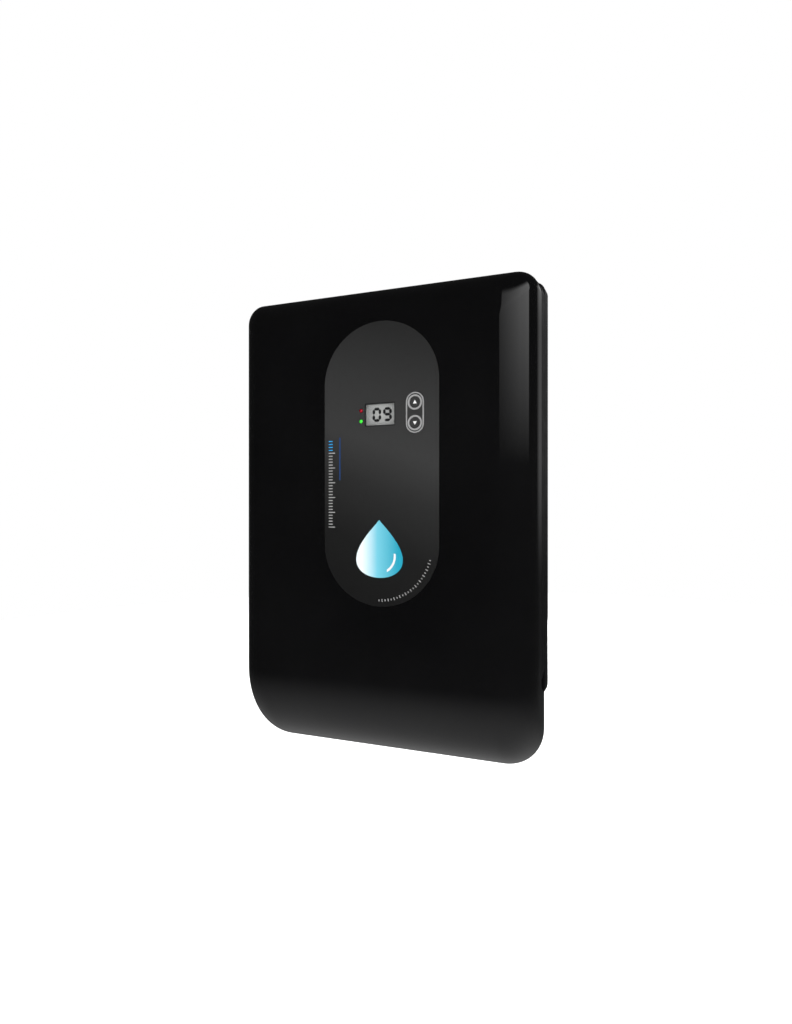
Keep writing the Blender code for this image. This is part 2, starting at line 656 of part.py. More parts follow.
def make_seal():
    """The rubber ring between the hood's rim and the casing's flange, round the tub."""
    inner, outer = [
        rounded((0, 0), (TUB_HALF_WIDTH + reach, TUB_HALF_HEIGHT + reach), TUB_CORNER + reach, CORNER_STEPS)
        for reach in SEAL_REACH
    ]
    seal = add("cover_seal", prism_y(outer, SEAL_FRONT_Y, PARTING_Y - GAP), "seal_rubber")
    cut(seal, prism_y(inner, SEAL_FRONT_Y - OVERRUN, PARTING_Y + OVERRUN))


def make_hook(x):
    """An L: a stem that the casing rests on, and a lip that rises in front of the casing's back wall."""
    low, tip, root = HOOK_TOP_Z - HOOK_THICKNESS, HOOK_TOP_Z + HOOK_LIP, SINK - BRACKET_PLATE
    profile = [
        (root, low),
        (HOOK_LIP_Y, low),
        (HOOK_LIP_Y, tip),
        (HOOK_FACE_Y, tip),
        (HOOK_FACE_Y, HOOK_TOP_Z),
        (root, HOOK_TOP_Z),
    ]
    return prism_x(profile, x - HOOK_HALF_WIDTH, x + HOOK_HALF_WIDTH)


def make_bracket():
    tray = unit_outline(0, BRACKET_CORNERS)
    bracket = add("wall_bracket", prism_y(tray, BRACKET_FRONT_Y, 0), "satin_black")
    inside = unit_outline(SHELL_WALL, BRACKET_CORNERS)
    cut(bracket, prism_y(inside, BRACKET_FRONT_Y - OVERRUN, -BRACKET_PLATE))
    root = SINK - BRACKET_PLATE
    pad_radius, pad_height = WALL_PAD
    pad_y = -BRACKET_PLATE - pad_height
    join(bracket, rod(LOCK_AT, LOCK_BOSS_RADIUS, SMALL_SIDES, BRACKET_FRONT_Y, root))
    join(bracket, *[rod(at, pad_radius, ROUND_SIDES, pad_y, root) for at in WALL_HOLES])
    join(bracket, *[make_hook(x) for x in HOOK_XS])
    cut(bracket, rod(LOCK_AT, PILOT_RADIUS, SMALL_SIDES, BRACKET_FRONT_Y - OVERRUN, -BRACKET_PLATE - GAP))
    cut(bracket, *[rod(at, WALL_HOLE_RADIUS, ROUND_SIDES, pad_y - OVERRUN, OVERRUN) for at in WALL_HOLES])
    screw("bracket_lock_screw", LOCK_AT, TUB_FLOOR_Y - GAP, LOCK_SCREW)


# ---------------------------------------------------------------- underside


def make_gland(which, x):
    """An M16 cable gland: threaded body, inner locknut and domed clamping nut, all bored through."""
    at = (x, ENTRY_Y, 0)
    slack = GLAND_THREAD + GAP
    hex_radius, hex_height = GLAND_HEXAGON
    hex_low = SEAT_Z - hex_height
    thread = circle((0, 0), GLAND_THREAD, ROUND_SIDES)
    body = add(f"{which}_gland_body", prism_z(thread, GLAND_LOW_Z, GLAND_TOP_Z), "component_black", at)
    join(body, prism_z(circle((0, 0), hex_radius, HEXAGON), hex_low, SEAT_Z))
    cut(body, prism_z(circle((0, 0), GLAND_BORE, SMALL_SIDES), GLAND_LOW_Z - OVERRUN, GLAND_TOP_Z + OVERRUN))
    nut_radius, nut_height = LOCKNUT
    low = FLOOR_INNER_Z + GAP
    hexagon = prism_z(circle((0, 0), nut_radius, HEXAGON), low, low + nut_height)
    locknut = add(f"{which}_gland_locknut", hexagon, "component_black", at)
    cut(locknut, prism_z(circle((0, 0), slack, ROUND_SIDES), low - OVERRUN, low + nut_height + OVERRUN))
    top = hex_low - GAP
    profile = [(radius, top - drop) for radius, drop in CLAMP_NUT]
    clamp = add(f"{which}_gland_nut", turned(profile, "Z", ROUND_SIDES), "component_black", at)
    end = profile[-1][1]
    cut(clamp, prism_z(circle((0, 0), slack, ROUND_SIDES), GLAND_LOW_Z - GAP, top + OVERRUN))
    cut(clamp, prism_z(circle((0, 0), GLAND_BORE, SMALL_SIDES), end - OVERRUN, GLAND_LOW_Z))


def make_switch_housing():
    wide, deep = SWITCH_HALF
    body = box((-wide, -deep, SEAT_Z - SINK), (wide, deep, SWITCH_TOP_Z))
    housing = add("power_switch_housing", body, "component_black", (SWITCH_X, ENTRY_Y, 0))
    bezel = rounded((0, 0), BEZEL_HALF, BEZEL_CORNER, SMALL_STEPS)
    join(housing, prism_z(bezel, SEAT_Z - BEZEL_HEIGHT, SEAT_Z))
    thin, broad = BLADE_HALF
    low, high = SWITCH_TOP_Z - SINK, SWITCH_TOP_Z + BLADE_HEIGHT
    join(housing, *[box((x - thin, -broad, low), (x + thin, broad, high)) for x in BLADE_XS])
    wide, deep = ROCKER_HALF_LENGTH + WELL_CLEARANCE[0], ROCKER_HALF_WIDTH + WELL_CLEARANCE[1]
    cut(housing, box((-wide, -deep, SEAT_Z - BEZEL_HEIGHT - OVERRUN), (wide, deep, WELL_TOP_Z)))


def make_rocker():
    """The rocker turns about Y. Its face is two flats that meet in a shallow V, tilted to the "on" side."""
    length, drop = ROCKER_HALF_LENGTH, ROCKER_DROP
    outline = [(-length, -drop), (0, length * tan(ROCKER_TILT) * VALLEY_SHARE - drop), (length, -drop)]
    outline += [(length * share, height) for share, height in ROCKER_CROWN]
    turn = Matrix.Rotation(ROCKER_TILT, 2)
    points = [turn @ Vector(point) for point in outline]
    shape = loop_prism([(x, -ROCKER_HALF_WIDTH, z) for x, z in points], (0, 2 * ROCKER_HALF_WIDTH, 0))
    add("power_switch_rocker", shape, "component_black", (SWITCH_X, ENTRY_Y, ROCKER_AXIS_Z))


# ---------------------------------------------------------------- main board


def make_main_board():
    outline = rounded(MAIN_BOARD_CENTRE, MAIN_BOARD_HALF, MAIN_BOARD_CORNER, SMALL_STEPS)
    board = add("main_board", prism_y(outline, MAIN_BOARD_FRONT_Y, MAIN_BOARD_BACK_Y), "board_green")
    through = (MAIN_BOARD_FRONT_Y - OVERRUN, MAIN_BOARD_BACK_Y + OVERRUN)
    cut(board, *[rod(at, CLEARANCE_RADIUS, SMALL_SIDES, *through) for at in MAIN_SCREWS])
    for number, at in enumerate(MAIN_SCREWS, 1):
        screw(f"main_board_screw_{number}", at, SEATED_Y, BOARD_SCREW)


def make_transformer():
    """A ferrite frame with its window along Z, and the wound coil that passes through the window."""
    x, z = TRANSFORMER_AT
    wide, tall, deep = TRANSFORMER_CORE
    front, back = SEATED_Y - deep, SEATED_Y
    frame = box((x - wide / 2, front, z - tall / 2), (x + wide / 2, back, z + tall / 2))
    core = add("transformer_core", frame, "ferrite")
    inner = wide / 2 - TRANSFORMER_LIMB
    low = (x - inner, front + TRANSFORMER_LIMB, z - tall)
    high = (x + inner, back - TRANSFORMER_LIMB, z + tall)
    cut(core, box(low, high))
    half = (inner - GAP, deep / 2 - TRANSFORMER_LIMB - GAP)
    outline = rounded((x, (front + back) / 2), half, WINDING_CORNER, SMALL_STEPS)
    coil = prism_z(outline, z - WINDING_HALF_HEIGHT, z + WINDING_HALF_HEIGHT)
    add("transformer_winding", coil, "winding_yellow")


def make_capacitor(name, at, radius, height):
    """A can that stands on the board, with the rolled groove near its foot and a rounded top."""
    profile = [(radius * share, rise) for share, rise in CAPACITOR_FOOT]
    profile += [(radius * share, height - drop) for share, drop in CAPACITOR_TOP]
    add(name, turned(profile, "Y", ROUND_SIDES), "capacitor_sleeve", (at[0], SEATED_Y, at[1]))


def make_choke():
    """A wound ring that stands on the board."""
    ring = bmesh.new()
    rows = []
    for x, z in circle((0, 0), 1, ROUND_SIDES):
        row = []
        for along, across in circle((0, 0), 1, CHOKE_SIDES):
            reach = CHOKE_RADIUS + CHOKE_THICKNESS * along
            row.append(ring.verts.new((reach * x, CHOKE_DEPTH * across, reach * z)))
        rows.append(row)
    for row, following in zip(rows, rows[1:] + rows[:1]):
        for m in range(CHOKE_SIDES):
            k = (m + 1) % CHOKE_SIDES
            ring.faces.new((row[m], row[k], following[k], following[m]))
    add("choke", ring, "copper", (CHOKE_AT[0], SEATED_Y - CHOKE_DEPTH, CHOKE_AT[1]))


def make_heat_sink():
    """An extruded comb: a base on the board with fins that point forwards."""
    left, right = HEAT_SINK_X
    pitch = (right - left - FIN_THICKNESS) / (FIN_COUNT - 1)
    tip, base = SEATED_Y - FIN_HEIGHT, SEATED_Y - HEAT_SINK_BASE
    outline = [(right, SEATED_Y), (left, SEATED_Y)]
    for n in range(FIN_COUNT):
        x = left + n * pitch
        if n:
            outline.append((x, base))
        outline += [(x, tip), (x + FIN_THICKNESS, tip)]
        if n < FIN_COUNT - 1:
            outline.append((x + FIN_THICKNESS, base))
    add("heat_sink", prism_z(outline, *HEAT_SINK_Z), "aluminium")


def make_transistors():
    """Two power transistors that stand against the heat sink's first fin."""
    right = HEAT_SINK_X[0] - GAP
    half = TRANSISTOR_HALF_WIDTH
    for number, z in enumerate(TRANSISTOR_ZS, 1):
        shapes = []
        for thick, low, high in (TRANSISTOR_CASE, TRANSISTOR_TAB):
            shapes.append(box((right - thick, SEATED_Y - high, z - half), (right, SEATED_Y - low, z + half)))
        case, *others = shapes
        for leg in (-LEG_PITCH, 0, LEG_PITCH):
            low, high = z + leg - LEG_HALF_WIDTH, z + leg + LEG_HALF_WIDTH
            start, end = SEATED_Y - TRANSISTOR_CASE[1] - SINK, SEATED_Y
            others.append(box((right - LEG_SETBACK[1], start, low), (right - LEG_SETBACK[0], end, high)))
        join(add(f"output_transistor_{number}", case, "component_black"), *others)


def make_block(name, slot, centre, size, ways):
    """A box on the board. A terminal block also has a screw well and a wire entry for each way."""
    x, z = centre
    wide, tall, deep = size
    front = SEATED_Y - deep
    body = box((x - wide / 2, front, z - tall / 2), (x + wide / 2, SEATED_Y, z + tall / 2))
    block = add(name, body, slot)
    for way in range(ways):
        at = x + (way - (ways - 1) / 2) * wide / ways
        reach = wide / ways * WELL_SHARE
        well = circle((at, z + tall * WELL_OFFSET), reach, SMALL_SIDES)
        entry_front, entry_back = SEATED_Y - deep * ENTRY_DEPTH_SHARE, SEATED_Y - ENTRY_FLOOR
        entry = box((at - reach, entry_front, z - tall), (at + reach, entry_back, z - tall * ENTRY_TOP_SHARE))
        cut(block, prism_y(well, front - OVERRUN, front + WELL_DEPTH), entry)


def make_fuse():
    x, z = FUSE_AT
    wide, tall, deep = FUSE_BASE
    base = box((x - wide / 2, SEATED_Y - deep, z - tall / 2), (x + wide / 2, SEATED_Y, z + tall / 2))
    holder = add("fuse_holder", base, "component_black")
    wide, tall, deep = FUSE_CHEEK
    for at in (x - FUSE_CHEEK_X, x + FUSE_CHEEK_X):
        root = SEATED_Y - FUSE_BASE[2] + SINK
        join(holder, box((at - wide / 2, SEATED_Y - deep, z - tall / 2), (at + wide / 2, root, z + tall / 2)))
    centre = (FUSE_AXIS_Y, z)
    seat = prism_x(circle(centre, FUSE_CAP_RADIUS + GAP, SMALL_SIDES), x - FUSE_BASE[0], x + FUSE_BASE[0])
    cut(holder, seat)
    low, high = x - FUSE_HALF_LENGTH, x + FUSE_HALF_LENGTH
    fuse = add("fuse", prism_x(circle(centre, FUSE_RADIUS, SMALL_SIDES), low, high), "fuse_glass")
    for ends in ((low, low + FUSE_CAP_LENGTH), (high - FUSE_CAP_LENGTH, high)):
        join(fuse, prism_x(circle(centre, FUSE_CAP_RADIUS, SMALL_SIDES), *ends))


# ---------------------------------------------------------------- display board


def make_display_board():
    outline = rounded(DISPLAY_BOARD_CENTRE, DISPLAY_BOARD_HALF, DISPLAY_BOARD_CORNER, SMALL_STEPS)
    board = add("display_board", prism_y(outline, DISPLAY_BOARD_FRONT_Y, DISPLAY_BOARD_BACK_Y), "board_green")
    through = (DISPLAY_BOARD_FRONT_Y - OVERRUN, DISPLAY_BOARD_BACK_Y + OVERRUN)
    cut(board, *[rod(at, CLEARANCE_RADIUS, SMALL_SIDES, *through) for at in STANDOFFS])


def make_standoffs():
    """Each one is a pillar, a neck through the board's hole, and the barb that holds the board."""
    shoulder, barb = -DISPLAY_BOARD_BACK_Y - GAP, -DISPLAY_BOARD_FRONT_Y + GAP
    profile = [(STANDOFF_RADIUS, -SEATED_Y), (STANDOFF_RADIUS, shoulder)]
    profile += [(PILOT_RADIUS, shoulder), (PILOT_RADIUS, barb)]
    profile += [(radius, barb + height) for radius, height in STANDOFF_BARB]
    for number, (x, z) in enumerate(STANDOFFS, 1):
        add(f"board_support_{number}", turned(profile, "Y", SMALL_SIDES), "nylon_white", (x, 0, z))


def make_display():
    outline = rounded(READOUT, [half + LCD_MARGIN for half in WINDOW_HALF], WINDOW_CORNER, SMALL_STEPS)
    add("lcd_module", prism_y(outline, LCD_FRONT_Y, DISPLAY_SEATED_Y), "lcd_grey")


def make_leds():
    seat, tip = -DISPLAY_SEATED_Y, -LED_TIP_Y
    profile = [
        (LED_RADIUS + LED_FLANGE, seat),
        (LED_RADIUS + LED_FLANGE, seat + LED_FLANGE_HEIGHT),
        (LED_RADIUS, seat + LED_FLANGE_HEIGHT),
    ]
    profile += [(LED_RADIUS * share, tip - drop) for share, drop in LED_DOME]
    for which, z in LED_ZS.items():
        add(f"{which}_led", turned(profile, "Y", ROUND_SIDES), f"{which}_lens", (LED_X, 0, z))


def make_tact_switches():
    half, seat = TACT_HALF, DISPLAY_SEATED_Y
    radius, rise = TACT_BUTTON
    front = seat - TACT_HEIGHT
    for which, z in KEY_ZS.items():
        body = box((KEY_X - half, front, z - half), (KEY_X + half, seat, z + half))
        switch = add(f"{which}_tact_switch", body, "component_black")
        join(switch, rod((KEY_X, z), radius, SMALL_SIDES, front - rise, front + SINK))


def make_display_header():
    wide, tall, deep = HEADER_SIZE
    low = (RIBBON_X - wide / 2, DISPLAY_HEADER_BACK_Y, DISPLAY_HEADER_Z - tall / 2)
    high = (RIBBON_X + wide / 2, DISPLAY_HEADER_BACK_Y + deep, DISPLAY_HEADER_Z + tall / 2)
    add("display_ribbon_header", box(low, high), "component_black")


def make_ribbon():
    """A flat cable from the main board's header to the display board's, in one easy S."""
    deep = HEADER_SIZE[2] + GAP
    start = Vector((SEATED_Y - deep, BLOCKS["main_ribbon_header"][1][1]))
    end = Vector((DISPLAY_HEADER_BACK_Y + deep, DISPLAY_HEADER_Z))
    centre = []
    for n in range(RIBBON_STEPS + 1):
        share = n / RIBBON_STEPS
        x = start.x + (end.x - start.x) * share
        centre.append(Vector((x, start.y + (end.y - start.y) * smoothstep(share))))
    sides = ([], [])
    for n, point in enumerate(centre):
        ahead = centre[min(n + 1, RIBBON_STEPS)] - centre[max(n - 1, 0)]
        # The ends are square to the headers' faces, which lie across Y.
        normal = Vector((-ahead.y, ahead.x)).normalized() if 0 < n < RIBBON_STEPS else Vector((0, -1))
        sides[0].append(point + normal * RIBBON_THICKNESS / 2)
        sides[1].append(point - normal * RIBBON_THICKNESS / 2)
    outline = sides[0] + sides[1][::-1]
    ribbon = prism_x(outline, RIBBON_X - RIBBON_HALF_WIDTH, RIBBON_X + RIBBON_HALF_WIDTH)
    add("ribbon_cable", ribbon, "ribbon_grey")


def main():
    clear_scene()
    make_hood()
    make_panel()
    make_window()
    make_key_surround()
    make_keys()
    make_casing()
    make_seal()
    make_bracket()
    for which, x in GLANDS.items():
        make_gland(which, x)
    make_switch_housing()
    make_rocker()
    make_main_board()
    make_transformer()
    for name, (at, radius, height) in CAPACITORS.items():
        make_capacitor(name, at, radius, height)
    make_choke()
    make_heat_sink()
    make_transistors()
    for name, (slot, centre, size, ways) in BLOCKS.items():
        make_block(name, slot, centre, size, ways)
    make_fuse()
    make_display_board()
    make_standoffs()
    make_display()
    make_leds()
    make_tact_switches()
    make_display_header()
    make_ribbon()


main()
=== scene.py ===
"""Looks of a wall-mounted salt chlorine generator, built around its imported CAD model.

Lengths are metres in the CAD frame: the wall is Y = 0, the unit faces -Y, and +Z is up. The hood and what the
user sees on it are modelled here at full smoothness, in the places that the CAD nodes give. The boards get
their small parts, and every CAD node that stays gets a material of its own.
"""

import json
from math import acos, cos, pi, radians, sin
from random import Random

import bmesh
import bpy
from mathutils import Matrix, Vector


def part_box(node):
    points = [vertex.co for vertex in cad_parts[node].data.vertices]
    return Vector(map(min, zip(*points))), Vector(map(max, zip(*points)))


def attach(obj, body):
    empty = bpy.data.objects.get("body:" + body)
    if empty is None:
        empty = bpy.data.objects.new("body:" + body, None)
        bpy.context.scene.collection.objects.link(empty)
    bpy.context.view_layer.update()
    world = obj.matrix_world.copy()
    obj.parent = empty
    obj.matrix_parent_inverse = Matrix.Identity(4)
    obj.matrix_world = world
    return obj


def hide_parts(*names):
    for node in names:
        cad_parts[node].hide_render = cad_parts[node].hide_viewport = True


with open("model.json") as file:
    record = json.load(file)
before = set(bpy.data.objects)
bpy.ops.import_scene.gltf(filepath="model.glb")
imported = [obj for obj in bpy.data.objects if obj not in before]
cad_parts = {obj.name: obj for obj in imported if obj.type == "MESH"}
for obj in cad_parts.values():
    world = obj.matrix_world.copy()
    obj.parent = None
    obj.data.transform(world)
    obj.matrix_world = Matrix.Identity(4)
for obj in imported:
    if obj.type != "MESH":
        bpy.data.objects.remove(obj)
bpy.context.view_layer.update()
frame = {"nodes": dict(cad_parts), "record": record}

# ---- places read from the frame

hood_low, hood_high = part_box("front_cover")
panel_low, panel_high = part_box("control_panel")
lcd_low, lcd_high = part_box("lcd_module")
window_low, window_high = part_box("display_window")
surround_low, surround_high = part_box("key_surround")
main_board_low, main_board_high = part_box("main_board")
display_board_low, display_board_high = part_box("display_board")


def middle(low, high):
    return (low + high) / 2


def half_size(low, high, extra=0.0):
    """Half the width and height of a box seen from the front, with extra on every side."""
    return (high.x - low.x) / 2 + extra, (high.z - low.z) / 2 + extra


FRONT_Y = hood_low.y
HALF_WIDTH = hood_high.x
TOP_Z = hood_high.z
SKIRT_BACK_Y = hood_high.y
PANEL = middle(panel_low, panel_high)
WINDOW = middle(window_low, window_high)
SURROUND = middle(surround_low, surround_high)
KEY_SPANS = {name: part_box(f"{name}_key") for name in ("up", "down")}
KEYS = {name: middle(*span) for name, span in KEY_SPANS.items()}
LEDS = {name: middle(*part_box(f"{name}_led")) for name in ("red", "green")}

# Hood, as in the CAD model.
HOOD_WALL = 0.003
EDGE_RADIUS = 0.036
HOOD_CORNER = 0.017
ROLL_START_Z = -0.177
RIM_Y = -0.0346
SKIRT_DEPTH = SKIRT_BACK_Y - FRONT_Y
ROLL_DROP = ROLL_START_Z - hood_low.z
ROLL_RADIUS = (ROLL_DROP**2 + SKIRT_DEPTH**2) / (2 * SKIRT_DEPTH)
POST = Vector((0.112, -0.050, 0.150))
POST_RADIUS = 0.003
POST_ROOT_Y = FRONT_Y + HOOD_WALL * 0.6

# The skirt is made longer than it is, by this angle and depth, and then cut off flat.
SKIRT_SPARE_ANGLE = radians(3)
SKIRT_SPARE_DEPTH = 0.004
# The rim leaves the casing's flange for the skirt's back over this angle of the roll.
RIM_BLEND = radians(24)

# Control panel.
POCKET_FLOOR_Y = FRONT_Y + 0.0012
POCKET_GAP = 0.0003
WINDOW_REVEAL = 0.0016
FILM_GAP = 0.0002
COLLAR_GAP = 0.0004
KEY_FLANGE = 0.0010
KEY_STEM = 0.0018
KEY_FLANGE_DEPTH = 0.0041
KEY_RADIUS = half_size(*KEY_SPANS["up"])[0] - KEY_FLANGE
KEY_RING_INNER = KEY_RADIUS + 0.0003
KEY_RING_OUTER = 0.0069
SURROUND_LINE = 0.0011
SURROUND_SINK = 0.0006
LED_RADIUS = 0.0019
LENS_RADIUS = 0.0017
LENS_DOME = 0.0010
LENS_FLANGE = 0.001
COLLAR_FRONT, COLLAR_BACK = 0.0006, 0.0012
KEY_SYMBOL = ((0, 0.0019), (-0.0019, -0.0013), (0.0019, -0.0013))
PRINT_DEPTH = 0.00012
EMBLEM = Vector((PANEL.x - 0.0006, 0, PANEL.z - 0.0784))
EMBLEM_RADIUS = 0.0272

# How far a cutter reaches past the faces of a thin piece, and past those of the hood's front wall.
CUT_PAST = 0.002
HOOD_CUT = (FRONT_Y - 0.005, FRONT_Y + 0.007)

# Boards.
GRID = 0.00127
TERMINAL_WAYS = {"mains": 3, "sensor": 4, "cell": 3}
CAPACITORS = ("bulk_capacitor_1", "bulk_capacitor_2", "output_capacitor_1", "output_capacitor_2")
ON_BOARD = 0.0005


# ---- mesh tools

SHARP_ANGLE = radians(30)
SAME_POINT = 1e-7


def add(name, shape, body, finish):
    """Puts a bmesh into the scene as one smooth-shaded piece that rides on a body."""
    bmesh.ops.recalc_face_normals(shape, faces=shape.faces)
    mesh = bpy.data.meshes.new(name)
    shape.to_mesh(mesh)
    shape.free()
    piece = bpy.data.objects.new(name, mesh)
    bpy.context.scene.collection.objects.link(piece)
    mesh.shade_smooth()
    mesh.set_sharp_from_angle(angle=SHARP_ANGLE)
    if finish:
        mesh.materials.append(finish)
    if body:
        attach(piece, body)
    return piece


def detail(name, shape, body, slot, finish=None):
    """A piece with a slot's finish, unless another finish is given."""
    piece = add(name, shape, body, finish or FINISH[slot])
    return piece


def freeze(piece):
    """Applies the piece's modifiers, and marks the hard edges of the result."""
    bpy.context.view_layer.update()
    evaluated = piece.evaluated_get(bpy.context.evaluated_depsgraph_get())
    solid = bpy.data.meshes.new_from_object(evaluated)
    piece.modifiers.clear()
    piece.data = solid
    solid.shade_smooth()
    solid.set_sharp_from_angle(angle=SHARP_ANGLE)


def combine(piece, shape, operation):
    """Cuts a shape away from a piece, or joins it on, at once."""
    tool = add(piece.name + ".tool", shape, None, None)
    boolean = piece.modifiers.new("Boolean", "BOOLEAN")
    boolean.operation = operation
    boolean.object = tool
    freeze(piece)
    bpy.data.objects.remove(tool)


def cut(piece, shape):
    combine(piece, shape, "DIFFERENCE")


def soften(piece, width):
    """Rounds a piece's hard edges a little, and keeps its flat faces flat in the shading."""
    bevel = piece.modifiers.new("Edges", "BEVEL")
    bevel.width = width
    bevel.segments = 2
    bevel.limit_method = "ANGLE"
    bevel.angle_limit = SHARP_ANGLE
    bevel.harden_normals = True
    bevel.use_clamp_overlap = True
    normals = piece.modifiers.new("Normals", "WEIGHTED_NORMAL")
    normals.keep_sharp = True


def extruded(points, direction):
    """A closed solid: the outline through these points, extruded along direction."""
    shape = bmesh.new()
    face = shape.faces.new([shape.verts.new(p) for p in points])
    grown = bmesh.ops.extrude_face_region(shape, geom=[face])["geom"]
    far_end = [item for item in grown if isinstance(item, bmesh.types.BMVert)]
    bmesh.ops.translate(shape, verts=far_end, vec=direction)
    bmesh.ops.recalc_face_normals(shape, faces=shape.faces)
    return shape


def plate(outline, y_front, y_back):
    """An outline of (x, z) points, extruded from y_front to y_back."""
    return extruded([(x, y_front, z) for x, z in outline], (0, y_back - y_front, 0))


def box(low, high):
    outline = [(low[0], low[2]), (high[0], low[2]), (high[0], high[2]), (low[0], high[2])]
    return plate(outline, low[1], high[1])


def centred_box(x, z, half, y_front, y_back):
    """A box about (x, z), given its half-width and half-height."""
    return box((x - half[0], y_front, z - half[1]), (x + half[0], y_back, z + half[1]))


def circle(centre, radius, count):
    steps = [2 * pi * n / count for n in range(count)]
    return [(centre[0] + radius * cos(a), centre[1] + radius * sin(a)) for a in steps]


def disc(x, z, radius, y_front, y_back, count=48):
    return plate(circle((x, z), radius, count), y_front, y_back)


def rounded(centre, half, radius, steps):
    """A rectangle with round corners and no doubled corner point. Half is its half-width and half-height."""
    points = []
    for sx, sz, start in ((1, 1, 0), (-1, 1, 90), (-1, -1, 180), (1, -1, 270)):
        for step in range(steps + 1):
            angle = radians(start + 90 * step / steps)
            x = centre[0] + sx * (half[0] - radius) + radius * cos(angle)
            z = centre[1] + sz * (half[1] - radius) + radius * sin(angle)
            if not points or abs(points[-1][0] - x) + abs(points[-1][1] - z) > SAME_POINT:
                points.append((x, z))
    if abs(points[0][0] - points[-1][0]) + abs(points[0][1] - points[-1][1]) < SAME_POINT:
        points.pop()
    return points


def slab(centre, half, radius, steps, y_front, y_back):
    """A plate whose outline is a rectangle with round corners."""
    return plate(rounded((centre.x, centre.z), half, radius, steps), y_front, y_back)


def lathed(profile, centre, axis="Y", count=48):
    """A solid of revolution about an axis through centre. Profile is (radius, height along the axis)."""
    shape = bmesh.new()
    rings = []
    for radius, height in profile:
        if radius == 0:
            rings.append([shape.verts.new((0, 0, height))] * count)
        else:
            rings.append([shape.verts.new((x, y, height)) for x, y in circle((0, 0), radius, count)])
    for lower, upper in zip(rings, rings[1:]):
        for n in range(count):
            m = (n + 1) % count
            corners = []
            for vert in (lower[n], lower[m], upper[m], upper[n]):
                if vert not in corners:
                    corners.append(vert)
            shape.faces.new(corners)
    for ring in (rings[0], rings[-1]):
        if ring[0] is not ring[1]:
            shape.faces.new(ring)
    if axis == "Y":
        to_y = Matrix.Rotation(-pi / 2, 3, "X")
        bmesh.ops.rotate(shape, verts=shape.verts, cent=(0, 0, 0), matrix=to_y)
    bmesh.ops.translate(shape, verts=shape.verts, vec=centre)
    return shape


def merged(shapes):
    """Several separate bodies in one mesh."""
    whole = bmesh.new()
    for shape in shapes:
        mesh = bpy.data.meshes.new("part")
        shape.to_mesh(mesh)
        shape.free()
        whole.from_mesh(mesh)
        bpy.data.meshes.remove(mesh)
    return whole


# ---- materials

# A wave texture at scale 1 has its bands this far apart.
WAVE_PERIOD = 0.314


class Graph:
    """A short way to build a node tree."""

    def __init__(self, owner):
        owner.use_nodes = True
        self.tree = owner.node_tree

    def feed(self, node, inputs):
        """Gives the inputs named or numbered here a value each, or a link from another node's output."""
        for key, value in inputs.items():
            if isinstance(value, bpy.types.NodeSocket):
                self.tree.links.new(value, node.inputs[key])
            else:
                node.inputs[key].default_value = value

    def node(self, kind, inputs, **settings):
        made = self.tree.nodes.new(kind)
        for key, value in settings.items():
            setattr(made, key, value)
        self.feed(made, inputs)
        return made

    def maths(self, operation, *values):
        return self.node("ShaderNodeMath", dict(enumerate(values)), operation=operation).outputs["Value"]

    def product(self, first, *others):
        for other in others:
            first = self.maths("MULTIPLY", first, other)
        return first

    def ranged(self, value, start, end, low=0.0, high=1.0, kind="LINEAR"):
        """Maps start..end to low..high."""
        inputs = {"Value": value, "From Min": start, "From Max": end, "To Min": low, "To Max": high}
        return self.node("ShaderNodeMapRange", inputs, interpolation_type=kind).outputs["Result"]

    def smooth(self, value, start, end, low=0.0, high=1.0):
        return self.ranged(value, start, end, low, high, "SMOOTHSTEP")


class Nodes(Graph):
    """One node-based material, built round its Principled shader."""

    def __init__(self, name):
        self.material = bpy.data.materials.new(name)
        super().__init__(self.material)
        self.shader = self.tree.nodes["Principled BSDF"]
        self.place = self.node("ShaderNodeTexCoord", {}).outputs["Object"]

    def along(self, axis):
        """The position along one axis."""
        return self.node("ShaderNodeSeparateXYZ", {"Vector": self.place}).outputs[axis]

    def noise(self, scale, detail=3.0, stretch=(1, 1, 1)):
        place = self.node("ShaderNodeMapping", {"Vector": self.place, "Scale": stretch}).outputs["Vector"]
        inputs = {"Vector": place, "Scale": scale, "Detail": detail}
        return self.node("ShaderNodeTexNoise", inputs).outputs["Fac"]

    def bands(self, axis, pitch, distortion=0.0):
        """Bands across an axis, this far apart."""
        inputs = {"Vector": self.place, "Scale": WAVE_PERIOD / pitch, "Distortion": distortion}
        return self.node("ShaderNodeTexWave", inputs, bands_direction=axis).outputs["Fac"]

    def paint(self, value, stops):
        """Colours the surface by a ramp over a value."""
        ramp = self.node("ShaderNodeValToRGB", {"Fac": value})
        elements = ramp.color_ramp.elements
        while len(elements) < len(stops):
            elements.new(0.5)
        for element, (position, colour) in zip(elements, stops):
            element.position = position
            element.color = (*colour, 1)
        self.feed(self.shader, {"Base Color": ramp.outputs["Color"]})
        return ramp.color_ramp

    def roughen(self, texture, low, high):
        """Makes the roughness run from low to high over the middle of a texture's range."""
        self.feed(self.shader, {"Roughness": self.ranged(texture, 0.3, 0.7, low, high)})

    def bump(self, height, distance, strength=1.0):
        made = self.node("ShaderNodeBump", {"Height": height, "Distance": distance, "Strength": strength})
        self.feed(self.shader, {"Normal": made.outputs["Normal"]})


def shade(colour, factor):
    return tuple(min(1.0, c * factor) for c in colour)


